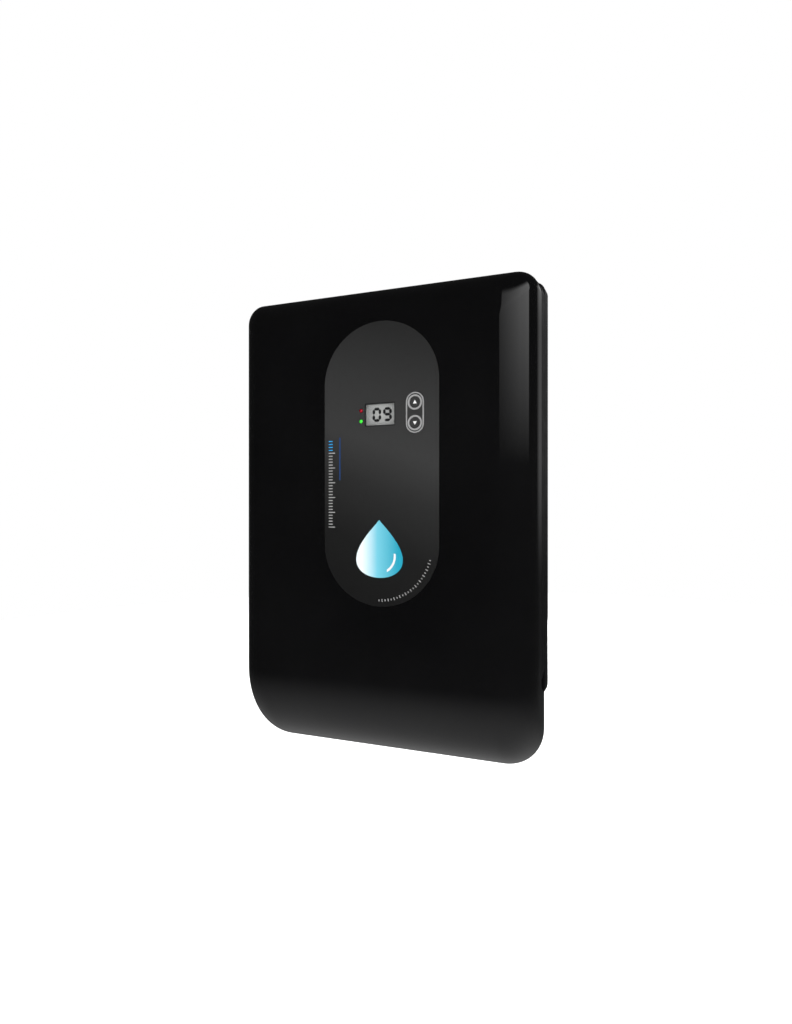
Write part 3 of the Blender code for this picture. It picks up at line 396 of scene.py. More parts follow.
def moulded(name, colour, roughness, grain=900.0, depth=0.00003, tone=0.18, specular=0.5):
    """Moulded or rolled stock: a fine grain, slow changes of tone, and roughness that varies with both."""
    nodes = Nodes(name)
    slow = nodes.noise(14.0)
    fine = nodes.noise(grain, 2.0)
    nodes.paint(slow, [(0.3, shade(colour, 1 - tone)), (0.7, shade(colour, 1 + tone))])
    nodes.roughen(nodes.noise(60.0), roughness * 0.85, roughness * 1.15)
    nodes.bump(fine, depth)
    nodes.feed(nodes.shader, {"Specular IOR Level": specular})
    return nodes.material


def gloss_black():
    """Piano-black moulding: a faint ripple as moulded plastic has, and wiped dust in its roughness."""
    nodes = Nodes("gloss_black")
    tones = [(0.35, (0.0024, 0.0024, 0.0026)), (0.65, (0.0034, 0.0034, 0.0036))]
    nodes.paint(nodes.noise(9.0), tones)
    nodes.roughen(nodes.noise(70.0, 5.0, (1.0, 1.0, 0.25)), 0.035, 0.075)
    nodes.bump(nodes.noise(28.0, 1.0), 0.00002, 0.5)
    return nodes.material


def overlay_grey_painted_sheen():
    """Printed film, dark grey under a fine satin grain, with a painted sheen: a slanting gradient in its
    colour, lightest above the middle.
    """
    nodes = Nodes("panel_grey")
    # Painted sheen: the grey follows a slanted height, lightest just above the middle and darkest at the
    # bottom.
    slanted = nodes.maths("MULTIPLY_ADD", nodes.along("X"), 0.35, nodes.along("Z"))
    height = nodes.ranged(slanted, panel_low.z, panel_high.z)
    painted_light_greys = [(0.0, 0.0060), (0.22, 0.0085), (0.42, 0.018), (0.58, 0.033), (0.76, 0.027), (1.0, 0.0145)]
    nodes.paint(height, [(at, (grey, grey, grey)) for at, grey in painted_light_greys])
    nodes.roughen(nodes.noise(200.0), 0.42, 0.52)
    nodes.bump(nodes.noise(2600.0, 2.0), 0.00001, 0.4)
    return nodes.material


def ink(name, colour):
    """Screen-printed ink, slightly uneven."""
    return moulded(name, colour, 0.5, 1800.0, 0.00001, 0.05)


def drop_ink():
    """Emblem ink that runs from white on the left to cyan on the right."""
    nodes = Nodes("drop_ink")
    reach = EMBLEM_RADIUS * 0.7
    across = nodes.ranged(nodes.along("X"), EMBLEM.x - reach, EMBLEM.x + reach)
    nodes.paint(across, [(0.05, (0.80, 0.90, 0.94)), (0.45, (0.16, 0.55, 0.68)), (1.0, (0.01, 0.33, 0.47))])
    nodes.roughen(nodes.noise(300.0), 0.42, 0.54)
    nodes.bump(nodes.noise(1800.0, 2.0), 0.00001, 0.4)
    return nodes.material


def lamp(name, colour, glow, strength):
    """Tinted lens over a lamp, with painted shade on its dome: lightest where the dome faces the view and
    darkest where it turns away.
    """
    nodes = Nodes(name)
    facing = nodes.node("ShaderNodeLayerWeight", {"Blend": 0.35}).outputs["Facing"]
    # Painted shade: the colour is made lighter facing the view and darker towards the dome's rim.
    nodes.paint(facing, [(0.0, shade(colour, 1.2)), (1.0, shade(colour, 0.45))])
    nodes.roughen(nodes.noise(900.0), 0.15, 0.25)
    nodes.bump(nodes.noise(500.0), 0.00001)
    nodes.feed(nodes.shader, {"Emission Color": (*glow, 1), "Emission Strength": strength})
    return nodes.material


def clear(name, tint, alpha):
    """A thin clear moulding."""
    nodes = Nodes(name)
    nodes.paint(nodes.noise(30.0), [(0.3, shade(tint, 0.95)), (0.7, tint)])
    nodes.roughen(nodes.noise(120.0), 0.03, 0.07)
    nodes.bump(nodes.noise(40.0, 1.0), 0.00001, 0.3)
    nodes.feed(nodes.shader, {"Alpha": alpha})
    return nodes.material


def lcd_grey():
    """Reflective display with the fine grain of its rear film, and painted light: lightest round the digits
    and darker towards its edges.
    """
    nodes = Nodes("lcd_grey")
    ends = {0: nodes.place, 1: (WINDOW.x, lcd_low.y, WINDOW.z)}
    offset = nodes.node("ShaderNodeVectorMath", ends, operation="DISTANCE").outputs["Value"]
    # Painted light: a pool of light round the digits that fades to shade towards the display's edges.
    painted_light_greys = [(0.0, (0.40, 0.405, 0.395)), (0.55, (0.33, 0.335, 0.33)), (1.0, (0.22, 0.225, 0.22))]
    nodes.paint(nodes.ranged(offset, 0.002, 0.016), painted_light_greys)
    nodes.roughen(nodes.noise(400.0), 0.32, 0.42)
    nodes.bump(nodes.noise(2500.0), 0.00001)
    return nodes.material


def tracks(nodes, turn, scale):
    """Long lanes with square joins, as copper tracks run. Turn is the way they run on the board's face."""
    lanes = nodes.node("ShaderNodeMapping", {"Vector": nodes.place, "Rotation": (radians(90), 0, turn)})
    inputs = {
        "Vector": lanes.outputs["Vector"],
        "Scale": scale,
        "Mortar Size": 0.05,
        "Color1": (0.004, 0.080, 0.030, 1),
        "Color2": (0.005, 0.092, 0.034, 1),
        "Mortar": (0.010, 0.140, 0.055, 1),
    }
    return nodes.node("ShaderNodeTexBrick", inputs, offset=0.37, squash=1.6, squash_frequency=3)


def board_green():
    """Solder mask over copper: blocks of raised, lighter tracks that run across or along the board."""
    nodes = Nodes("board_green")
    across, along = tracks(nodes, 0, 60.0), tracks(nodes, radians(90), 47.0)
    inputs = {"Vector": nodes.place, "Scale": 42.0}
    blocks = nodes.node("ShaderNodeTexVoronoi", inputs, distance="CHEBYCHEV").outputs["Color"]
    choice = nodes.node("ShaderNodeMath", {0: blocks}, operation="GREATER_THAN").outputs["Value"]
    mixed = {}
    for output in ("Color", "Fac"):
        inputs = {"Fac": choice, "Color1": across.outputs[output], "Color2": along.outputs[output]}
        mixed[output] = nodes.node("ShaderNodeMixRGB", inputs).outputs["Color"]
    nodes.feed(nodes.shader, {"Base Color": mixed["Color"]})
    nodes.bump(mixed["Fac"], 0.00006)
    nodes.roughen(nodes.noise(90.0), 0.28, 0.42)
    return nodes.material


def wound(name, colour, pitch, axis):
    """Wire or tape wound round a core: fine ridges across one axis, with painted shade in the grooves between
    them.
    """
    nodes = Nodes(name)
    ridges = nodes.bands(axis, pitch, 0.4)
    # Painted shade: the colour darkens in each groove between turns.
    nodes.paint(ridges, [(0.0, shade(colour, 0.45)), (0.45, colour)])
    nodes.roughen(nodes.noise(150.0), 0.3, 0.45)
    nodes.bump(ridges, 0.0002)
    return nodes.material


def metal(name, colour, roughness, stretch=(1, 1, 1)):
    """Bare metal with fine drawn lines along the axis of the least stretch."""
    nodes = Nodes(name)
    lines = nodes.noise(240.0, 4.0, stretch)
    nodes.paint(lines, [(0.3, shade(colour, 0.85)), (0.7, colour)])
    nodes.roughen(lines, roughness * 0.7, roughness * 1.3)
    nodes.bump(lines, 0.00003)
    nodes.feed(nodes.shader, {"Metallic": 0.55})
    return nodes.material


def ribbon_grey():
    """Flat cable: parallel cores, with the first one red."""
    nodes = Nodes("ribbon_grey")
    low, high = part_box("ribbon_cable")
    across = nodes.ranged(nodes.along("X"), low.x, high.x)
    stops = [(0.0, (0.45, 0.03, 0.02)), (0.095, (0.42, 0.42, 0.44)), (1.0, (0.46, 0.46, 0.48))]
    nodes.paint(across, stops).interpolation = "CONSTANT"
    nodes.roughen(nodes.noise(90.0), 0.45, 0.6)
    nodes.bump(nodes.bands("X", GRID), 0.0003)
    return nodes.material


# Name: colour, roughness, and then the grain's scale and depth, the change of tone and the specular level.
MOULDED = {
    "satin_black": ((0.0075, 0.0075, 0.0079), 0.32, 1100.0, 0.00004, 0.18, 0.04),
    "silver_grey": ((0.30, 0.30, 0.30), 0.42, 1500.0, 0.00001, 0.06),
    "key_black": ((0.028, 0.028, 0.028), 0.42, 1400.0, 0.00003),
    "ferrite": ((0.035, 0.035, 0.038), 0.55, 500.0, 0.0001, 0.3),
    "nylon_white": ((0.62, 0.61, 0.56), 0.42, 700.0),
    "component_black": ((0.016, 0.016, 0.017), 0.45, 700.0, 0.00008),
    "relay_blue": ((0.025, 0.11, 0.38), 0.30, 900.0),
    "terminal_green": ((0.025, 0.22, 0.08), 0.40, 900.0),
    "capacitor_sleeve": ((0.012, 0.020, 0.075), 0.24, 200.0, 0.00004),
    "seal_rubber": ((0.018, 0.018, 0.018), 0.72, 600.0, 0.0001),
}
FINISH = {name: moulded(name, *look) for name, look in MOULDED.items()}
FINISH |= {
    "gloss_black": gloss_black(),
    "panel_grey": overlay_grey_painted_sheen(),
    "clear_window": clear("clear_window", (0.10, 0.10, 0.10), 0.03),
    "lcd_grey": lcd_grey(),
    "red_lens": lamp("red_lens", (0.22, 0.006, 0.015), (0.60, 0.0, 0.02), 0.13),
    "green_lens": lamp("green_lens", (0.05, 0.42, 0.05), (0.04, 1.0, 0.03), 0.5),
    "board_green": board_green(),
    "winding_yellow": wound("winding_yellow", (0.72, 0.50, 0.06), 0.0045, "Z"),
    "copper": wound("copper", (0.50, 0.17, 0.06), 0.0011, "X"),
    "aluminium": metal("aluminium", (0.60, 0.61, 0.63), 0.34, (6, 6, 0.4)),
    "steel": metal("steel", (0.56, 0.56, 0.58), 0.28),
    "fuse_glass": clear("fuse_glass", (0.78, 0.81, 0.80), 0.35),
    "ribbon_grey": ribbon_grey(),
}
WHITE_INK = ink("white_ink", (0.80, 0.80, 0.80))
GREY_INK = ink("grey_ink", (0.36, 0.36, 0.36))
BLUE_INK = ink("blue_ink", (0.02, 0.36, 0.80))
DEEP_BLUE_INK = ink("deep_blue_ink", (0.01, 0.045, 0.16))
LCD_INK = ink("lcd_ink", (0.003, 0.003, 0.004))
SOLDER = metal("solder", (0.62, 0.63, 0.64), 0.3)
SMD_BROWN = moulded("smd_brown", (0.30, 0.20, 0.12), 0.5, 900.0)


# ---- hood

EDGE_STEPS = 22
CORNER_STEPS = 12
ROLL_STEPS = 40
DOUBLES = 1e-6


def smoothstep(value):
    value = min(1.0, max(0.0, value))
    return value * value * (3 - 2 * value)


def rim_reach(angle, roll_end):
    """Distance from the roll's axis forward to the rim, at an angle of the roll."""
    share = smoothstep(angle / RIM_BLEND)
    reach = (ROLL_RADIUS - (RIM_Y - FRONT_Y)) * (1 - share) + (ROLL_RADIUS - SKIRT_DEPTH) * share
    if angle > RIM_BLEND:
        reach -= SKIRT_SPARE_DEPTH * (angle - RIM_BLEND) / (roll_end - RIM_BLEND)
    return reach


def hood_rows():
    """Lines of points round the hood, from one end of the skirt to the other, beginning at the rim."""
    roll_end = acos((ROLL_RADIUS - SKIRT_DEPTH) / ROLL_RADIUS) + SKIRT_SPARE_ANGLE
    angles = [pi / 2 * n / EDGE_STEPS for n in range(EDGE_STEPS + 1)]
    edge = [(EDGE_RADIUS * (1 - cos(a)), EDGE_RADIUS * (1 - sin(a))) for a in angles]
    rows = []
    for inset, depth in [(0.0, None)] + edge:
        side = HALF_WIDTH - inset
        half = []
        for n in range(ROLL_STEPS, 0, -1):
            angle = roll_end * n / ROLL_STEPS
            radius = rim_reach(angle, roll_end) / cos(angle) if depth is None else ROLL_RADIUS - depth
            y = FRONT_Y + ROLL_RADIUS - radius * cos(angle)
            half.append((side, y, ROLL_START_Z - radius * sin(angle)))
        y = RIM_Y if depth is None else FRONT_Y + depth
        half.append((side, y, ROLL_START_Z))
        half.append((side, y, 0.0))
        corner_x = side - HOOD_CORNER
        corner_z = TOP_Z - inset - HOOD_CORNER
        for n in range(CORNER_STEPS + 1):
            angle = pi / 2 * n / CORNER_STEPS
            half.append((corner_x + HOOD_CORNER * cos(angle), y, corner_z + HOOD_CORNER * sin(angle)))
        rows.append(half + [(-x, y, z) for x, y, z in reversed(half)])
    return rows


def hood_skin():
    """The outer surface as an open mesh: the rounded edge, the flat front, and the roll below it."""
    shape = bmesh.new()
    rows = [[shape.verts.new(point) for point in row] for row in hood_rows()]
    for outer, inner in zip(rows, rows[1:]):
        for n in range(len(outer) - 1):
            shape.faces.new((outer[n], outer[n + 1], inner[n + 1], inner[n]))
    front = rows[-1]
    for n in range(ROLL_STEPS):
        shape.faces.new((front[n], front[n + 1], front[-2 - n], front[-1 - n]))
    shape.faces.new(front[ROLL_STEPS : len(front) - ROLL_STEPS])
    bmesh.ops.remove_doubles(shape, verts=shape.verts, dist=DOUBLES)
    everything = shape.verts[:] + shape.edges[:] + shape.faces[:]
    bmesh.ops.bisect_plane(
        shape, geom=everything, plane_co=(0, SKIRT_BACK_Y, 0), plane_no=(0, 1, 0), clear_outer=True
    )
    bmesh.ops.recalc_face_normals(shape, faces=shape.faces)
    if max(shape.faces, key=lambda face: face.calc_area()).normal.y > 0:
        bmesh.ops.reverse_faces(shape, faces=shape.faces)
    return shape


def make_hood():
    """The skin made thick, with the panel's pocket, the holes through it, and the four posts."""
    mesh = bpy.data.meshes.new("hood")
    skin = hood_skin()
    skin.to_mesh(mesh)
    skin.free()
    hood = bpy.data.objects.new("hood", mesh)
    bpy.context.scene.collection.objects.link(hood)
    mesh.materials.append(FINISH["gloss_black"])
    thick = hood.modifiers.new("Wall", "SOLIDIFY")
    thick.thickness = HOOD_WALL
    thick.offset = -1
    thick.use_even_offset = True
    freeze(hood)
    half = half_size(panel_low, panel_high, POCKET_GAP)
    cut(hood, slab(PANEL, half, half[0], 24, HOOD_CUT[0], POCKET_FLOOR_Y))
    cut(hood, slab(WINDOW, half_size(window_low, window_high, WINDOW_REVEAL), 0.001, 4, *HOOD_CUT))
    for at in LEDS.values():
        cut(hood, disc(at.x, at.z, LED_RADIUS + COLLAR_GAP, *HOOD_CUT))
    for at in KEYS.values():
        cut(hood, disc(at.x, at.z, KEY_RING_INNER, *HOOD_CUT))
    for x in (-POST.x, POST.x):
        for z in (-POST.z, POST.z):
            combine(hood, disc(x, z, POST_RADIUS, POST_ROOT_Y, POST.y, 32), "UNION")
    soften(hood, 0.00035)
    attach(hood, "cover")
    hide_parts("front_cover")


# ---- control panel

WINDOW_CORNER = 0.0006
BORDER_INNER = 0.0004
BORDER_OUTER = 0.0011

# The marks on the film, all placed from its middle.
TICK_COUNT = 30
TICK_PITCH = 0.0028
TICK_LEFT = PANEL.x - 0.0529
TICK_BOTTOM = PANEL.z - 0.0587
TICK_HALF_HEIGHT = 0.00042
LONG_TICK, SHORT_TICK = 0.0068, 0.0042
LAST_GREY_TICK = 25
BLUE_LINE, BLUE_LINE_HALF = (PANEL.x - 0.0411, PANEL.z + 0.0056), (0.0006, 0.0202)
ARC_CENTRE = Vector((PANEL.x - 0.0008, PANEL.z - 0.0743))
ARC_RADIUS = 0.0515
ARC_COUNT = 23
ARC_START, ARC_STEP = -90, 3.4
ARC_LONG_TICK, ARC_SHORT_TICK, ARC_TICK_WIDTH = 0.0013, 0.0008, 0.00035


def make_overlay():
    """The printed film, cut out for the window, the lamps and the key surround."""
    half = half_size(panel_low, panel_high)
    shape = slab(PANEL, half, half[0], 32, panel_low.y, panel_high.y)
    film = detail("overlay_film", shape, "cover", "panel_grey")
    through = (panel_low.y - CUT_PAST, panel_high.y + CUT_PAST)
    cut(film, slab(WINDOW, half_size(window_low, window_high, POCKET_GAP), WINDOW_CORNER, 4, *through))
    for at in LEDS.values():
        cut(film, disc(at.x, at.z, LED_RADIUS + FILM_GAP, *through))
    half = half_size(surround_low, surround_high, POCKET_GAP)
    cut(film, slab(SURROUND, half, half[0], 16, *through))
    soften(film, 0.00015)
    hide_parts("control_panel")


def printed(name, shape, finish):
    return detail(name, shape, "cover", "silver_grey", finish)


def print_plate(outline):
    return plate(outline, panel_low.y - PRINT_DEPTH, panel_low.y + PRINT_DEPTH)


def drop_outline(centre, radius, count=72):
    """A water drop: a circle whose top is drawn out to a point."""
    points = []
    for n in range(count):
        a = 2 * pi * n / count
        width = sin(a) * sin(a / 2) ** 1.2
        points.append((centre[0] + radius * 1.16 * width, centre[1] + radius * 0.98 * cos(a)))
    return points


def make_window_border():
    """The dark edge printed on the film round the display's window."""
    inner, outer = [half_size(window_low, window_high, reach) for reach in (BORDER_INNER, BORDER_OUTER)]
    border = printed("window_border", print_plate(rounded((WINDOW.x, WINDOW.z), outer, 0.0012, 6)), LCD_INK)
    cut(border, slab(WINDOW, inner, WINDOW_CORNER, 4, panel_low.y - CUT_PAST, panel_high.y + CUT_PAST))


def make_emblem():
    """A plain water drop, with a crescent of light in its lower right."""
    drop = drop_outline((EMBLEM.x, EMBLEM.z), EMBLEM_RADIUS)
    printed("drop_mark", print_plate(drop), drop_ink())
    crescent = []
    for radius, angles, shift in ((0.0165, range(-62, 13, 5), 0.0), (0.0150, range(8, -59, -5), 0.0004)):
        for angle in angles:
            x = EMBLEM.x + radius * cos(radians(angle)) - shift
            crescent.append((x, EMBLEM.z - 0.0065 + radius * sin(radians(angle)) + shift))
    glint = plate(crescent, panel_low.y - PRINT_DEPTH * 1.8, panel_low.y)
    printed("drop_glint", glint, WHITE_INK)


def make_scale():
    """Ticks up the left side with a blue end, and a line beside them."""
    grey, blue = [], []
    for n in range(TICK_COUNT):
        z = TICK_BOTTOM + n * TICK_PITCH
        wide = SHORT_TICK if n % 5 else LONG_TICK
        tick = rounded((TICK_LEFT + wide / 2, z), (wide / 2, TICK_HALF_HEIGHT), 0.0003, 3)
        (blue if n > LAST_GREY_TICK else grey).append(print_plate(tick))
    printed("scale_ticks", merged(grey), GREY_INK)
    printed("scale_ticks_blue", merged(blue), BLUE_INK)
    printed("blue_line", print_plate(rounded(BLUE_LINE, BLUE_LINE_HALF, 0.0005, 4)), DEEP_BLUE_INK)


def make_arc():
    """Ticks on the curve below the emblem, long and short in turn."""
    arc = []
    for n in range(ARC_COUNT):
        angle = radians(ARC_START + n * ARC_STEP)
        at = ARC_CENTRE + ARC_RADIUS * Vector((cos(angle), sin(angle)))
        across = Vector((cos(angle), sin(angle))) * (ARC_LONG_TICK if n % 2 else ARC_SHORT_TICK)
        along = Vector((-sin(angle), cos(angle))) * ARC_TICK_WIDTH
        corners = [at + across + along, at - across + along, at - across - along, at + across - along]
        arc.append(print_plate([tuple(corner) for corner in corners]))
    printed("arc_ticks", merged(arc), GREY_INK)


def make_key_surround():
    """A raised frame round the keys, a ring round each key, and a dark field sunk between them."""
    half = half_size(surround_low, surround_high)
    inner = half_size(surround_low, surround_high, -SURROUND_LINE)
    front, back, sunk = surround_low.y, surround_high.y, surround_low.y + SURROUND_SINK
    ring = detail("key_frame", slab(SURROUND, half, half[0], 20, front, back), "cover", "silver_grey")
    cut(ring, slab(SURROUND, inner, inner[0], 20, front - CUT_PAST, sunk))
    for at in KEYS.values():
        combine(ring, disc(at.x, at.z, KEY_RING_OUTER, front, back, 56), "UNION")
        cut(ring, disc(at.x, at.z, KEY_RING_INNER, front - CUT_PAST, back + CUT_PAST, 56))
    soften(ring, 0.00012)
    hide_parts("key_surround")
    gap = 0.00005
    inset = (inner[0] - gap, inner[1] - gap)
    floor = slab(SURROUND, inset, inset[0], 20, sunk - 0.00025, sunk + gap)
    field = detail("key_frame_field", floor, "cover", "panel_grey")
    for at in KEYS.values():
        cut(field, disc(at.x, at.z, KEY_RING_OUTER + gap, front, back, 56))


def key_profile(front, back):
    """A key's stem, its flange, and its dished face with a rounded edge."""
    flange = front + KEY_FLANGE_DEPTH
    return [
        (KEY_STEM, back),
        (KEY_STEM, flange + 0.001),
        (KEY_RADIUS + KEY_FLANGE, flange + 0.001),
        (KEY_RADIUS + KEY_FLANGE, flange),
        (KEY_RADIUS, flange),
        (KEY_RADIUS, front + 0.0005),
        (KEY_RADIUS - 0.00015, front + 0.00018),
        (KEY_RADIUS - 0.00045, front + 0.00002),
        (KEY_RADIUS - 0.0009, front + 0.00002),
        (KEY_RADIUS - 0.0020, front + 0.00022),
        (KEY_RADIUS - 0.0040, front + 0.00034),
        (0.0, front + 0.00036),
    ]


def make_keys():
    """Each key, with a triangle on it that points its own way."""
    for (name, at), sign in zip(KEYS.items(), (1, -1)):
        low, high = KEY_SPANS[name]
        shape = lathed(key_profile(low.y, high.y), Vector((at.x, 0, at.z)), "Y", 64)
        key = detail(f"{name}_key_cap", shape, f"{name}_key", "key_black")
        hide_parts(f"{name}_key")
        triangle = [(at.x + x, at.z + sign * z) for x, z in KEY_SYMBOL]
        symbol = plate(triangle, low.y + 0.00016, low.y + 0.0005)
        detail(f"{name}_key_symbol", symbol, f"{name}_key", "silver_grey", WHITE_INK)


# ---- display

SEGMENTS = {"0": "abcdef", "9": "abcdfg"}
DIGIT_WIDE, DIGIT_TALL, DIGIT_PITCH = 0.0086, 0.0129, 0.0106
DIGIT_LEFT = WINDOW.x - 0.0080
DIGIT_FRONT, DIGIT_BACK = lcd_low.y - 0.00012, lcd_low.y + 0.0002
SEGMENT_THICK = DIGIT_WIDE * 0.29
SEGMENT_GAP = DIGIT_WIDE * 0.02
GLASS_THICKNESS = 0.0009
GLASS_INSET = 0.0003


def digit(character, left, bottom):
    """The lit segments of a seven-segment digit, as chamfered bars."""
    wide, tall, mid = DIGIT_WIDE, DIGIT_TALL, DIGIT_TALL / 2
    # Each segment's ends, and the way that it lies inside them.
    bars = {
        "a": ((0, tall), (wide, tall), (0, -1)),
        "g": ((0, mid), (wide, mid), (0, 0)),
        "d": ((0, 0), (wide, 0), (0, 1)),
        "f": ((0, mid), (0, tall), (1, 0)),
        "b": ((wide, mid), (wide, tall), (-1, 0)),
        "e": ((0, 0), (0, mid), (1, 0)),
        "c": ((wide, 0), (wide, mid), (-1, 0)),
    }
    shapes = []
    for letter in SEGMENTS[character]:
        (x0, z0), (x1, z1), inward = bars[letter]
        shift = Vector(inward) * SEGMENT_THICK / 2
        start, end = Vector((x0, z0)) + shift, Vector((x1, z1)) + shift
        along = (end - start).normalized()
        across = Vector((-along.y, along.x)) * SEGMENT_THICK / 2
        level = z0 == z1
        start += along * (SEGMENT_GAP + SEGMENT_THICK * 0.5 * (level or z0 == 0))
        end -= along * (SEGMENT_GAP + SEGMENT_THICK * 0.5 * (level or z1 == tall))
        tip = along * SEGMENT_THICK / 2
        upper = [start, start + tip + across, end - tip + across]
        lower = [end, end - tip - across, start + tip - across]
        outline = [(left + p.x, bottom + p.y) for p in upper + lower]
        shapes.append(plate(outline, DIGIT_FRONT, DIGIT_BACK))
    return shapes


def make_display():
    """The display's holder, its glass and the lit segments of two digits."""
    centre = middle(lcd_low, lcd_high)
    glass_back = lcd_low.y + GLASS_THICKNESS
    holder_shape = slab(centre, half_size(lcd_low, lcd_high), 0.0006, 4, glass_back, lcd_high.y)
    holder = detail("lcd_holder", holder_shape, "unit", "component_black")
    soften(holder, 0.0003)
    glass = slab(centre, half_size(lcd_low, lcd_high, -GLASS_INSET), 0.0004, 3, lcd_low.y, glass_back)
    soften(detail("lcd_glass", glass, "unit", "lcd_grey"), 0.00015)
    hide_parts("lcd_module")
    bottom = WINDOW.z - DIGIT_TALL / 2
    shapes = digit("0", DIGIT_LEFT, bottom) + digit("9", DIGIT_LEFT + DIGIT_PITCH, bottom)
    detail("lcd_digits", merged(shapes), "unit", "component_black", LCD_INK)


def make_lamps():
    """Each lamp is a domed lens that stands in a dark collar."""
    for name, at in LEDS.items():
        low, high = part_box(f"{name}_led")
        foot_radius, foot_top = LED_RADIUS + COLLAR_GAP, high.y - LENS_FLANGE
        profile = [(foot_radius, high.y), (foot_radius, foot_top), (LENS_RADIUS, foot_top)]
        for angle in range(0, 90, 9):
            rise = 1 - sin(radians(angle))
            profile.append((LENS_RADIUS * cos(radians(angle)), low.y + LENS_DOME * rise))
        profile.append((0.0, low.y))
        lens = detail(f"{name}_lamp", lathed(profile, Vector((at.x, 0, at.z))), "unit", f"{name}_lens")
        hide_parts(f"{name}_led")
        collar = disc(at.x, at.z, LED_RADIUS, low.y + COLLAR_FRONT, high.y - COLLAR_BACK, 40)
        sleeve = detail(f"{name}_lamp_collar", collar, "unit", "component_black")
        cut(sleeve, disc(at.x, at.z, LENS_RADIUS + 0.00003, low.y - 0.001, high.y, 40))


# ---- board details

BOARD_MARGIN = 0.005
SPACING = 0.0011
TRIES = 60
CIRCUIT_HALF = (0.0025, 0.0019)
CIRCUIT_HEIGHT = 0.0015
CIRCUIT_LIFT = CIRCUIT_HEIGHT * 0.1
CIRCUIT_LEG = 0.0014
LEG_HALF = (0.0002, 0.0007)
LEG_OUT = 0.0006
LEG_HEIGHT = CIRCUIT_HEIGHT * 0.3
SMALL_CHIP, LARGE_CHIP = (0.0010, 0.0006), (0.0016, 0.0008)
CHIP_HEIGHT = 0.0005
CHIP_BODY = 0.98
CAP_SHARE, CAP_GROWTH = 0.25, 1.04
CAP_HEIGHT = CHIP_HEIGHT * 1.05
VIA_MARGIN = 0.003
VIA_SPACING = 0.0004
VIA_RADIUS = 0.00042
VIA_HALF = (0.0005, 0.0005)
VIA_HEIGHT = 0.00006
SILK_GAP = 0.0007
SILK_LINE = 0.0001
SILK_HEIGHT = 0.00004
SILK_OPEN = 0.0012
CONTROLLER_LEGS = 15
# Terminal screws: shares of a way's width, then of the block's height, and the sink below the block's face.
SCREW_SHARE, SCREW_RISE, SCREW_SINK = 0.27, 0.12, 0.0014
SLOT_WIDE, SLOT_TALL = 0.16, 1.2
CAN_SHARE, SCORE_SHARE, SCORE_WIDTH = 0.84, 0.75, 0.0002
FUSE_CAP = 0.005


def on_board(board_front):
    """The (low, high) boxes of the CAD nodes that stand on this face of a board."""
    spans = [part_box(part["node"]) for part in frame["record"]["subparts"]]
    return [(low, high) for low, high in spans if abs(high.y - board_front) < ON_BOARD]


def overlaps(centre, half, taken, margin):
    return any(
        abs(centre[0] - (low.x + high.x) / 2) < half[0] + margin + (high.x - low.x) / 2
        and abs(centre[1] - (low.z + high.z) / 2) < half[1] + margin + (high.z - low.z) / 2
        for low, high in taken
    )


def chip(centre, half, front, turned):
    """A chip part: its dark body, and the bright caps on its two ends."""
    (x, z), (long, short) = centre, half
    if turned:
        wide, tall, cap = short, long, (short, long * CAP_SHARE)
    else:
        wide, tall, cap = long, short, (long * CAP_SHARE, short)
    body = centred_box(x, z, (wide * CHIP_BODY, tall * CHIP_BODY), front - CHIP_HEIGHT, front)
    cap_half = (cap[0] * CAP_GROWTH, cap[1] * CAP_GROWTH)
    ends = []
    for side in (-1, 1):
        at = (x, z + side * (tall - cap[1])) if turned else (x + side * (wide - cap[0]), z)
        ends.append(centred_box(*at, cap_half, front - CAP_HEIGHT, front))
    return body, ends


def small_outline(centre, half, front, turned):
    """A small-outline integrated circuit: its body, and the legs along its two long sides."""
    (x, z), (long, short) = centre, half
    wide, tall = (short, long) if turned else (long, short)
    body = centred_box(x, z, (wide, tall), front - CIRCUIT_HEIGHT, front - CIRCUIT_LIFT)
    leg_half = LEG_HALF[::-1] if turned else LEG_HALF
    legs = []
    for n in range(4):
        step = (n - 1.5) * long * 0.5
        for side in (-1, 1):
            out = side * ((wide if turned else tall) + LEG_OUT)
            at = (x + out, z + step) if turned else (x + step, z + out)
            legs.append(centred_box(*at, leg_half, front - LEG_HEIGHT, front))
    return body, legs


def random_place(draw, low, high, margin):
    """A random point of a board's face that is this far in from its edges."""
    x = low.x + margin + draw.random() * (high.x - low.x - 2 * margin)
    z = low.z + margin + draw.random() * (high.z - low.z - 2 * margin)
    return x, z


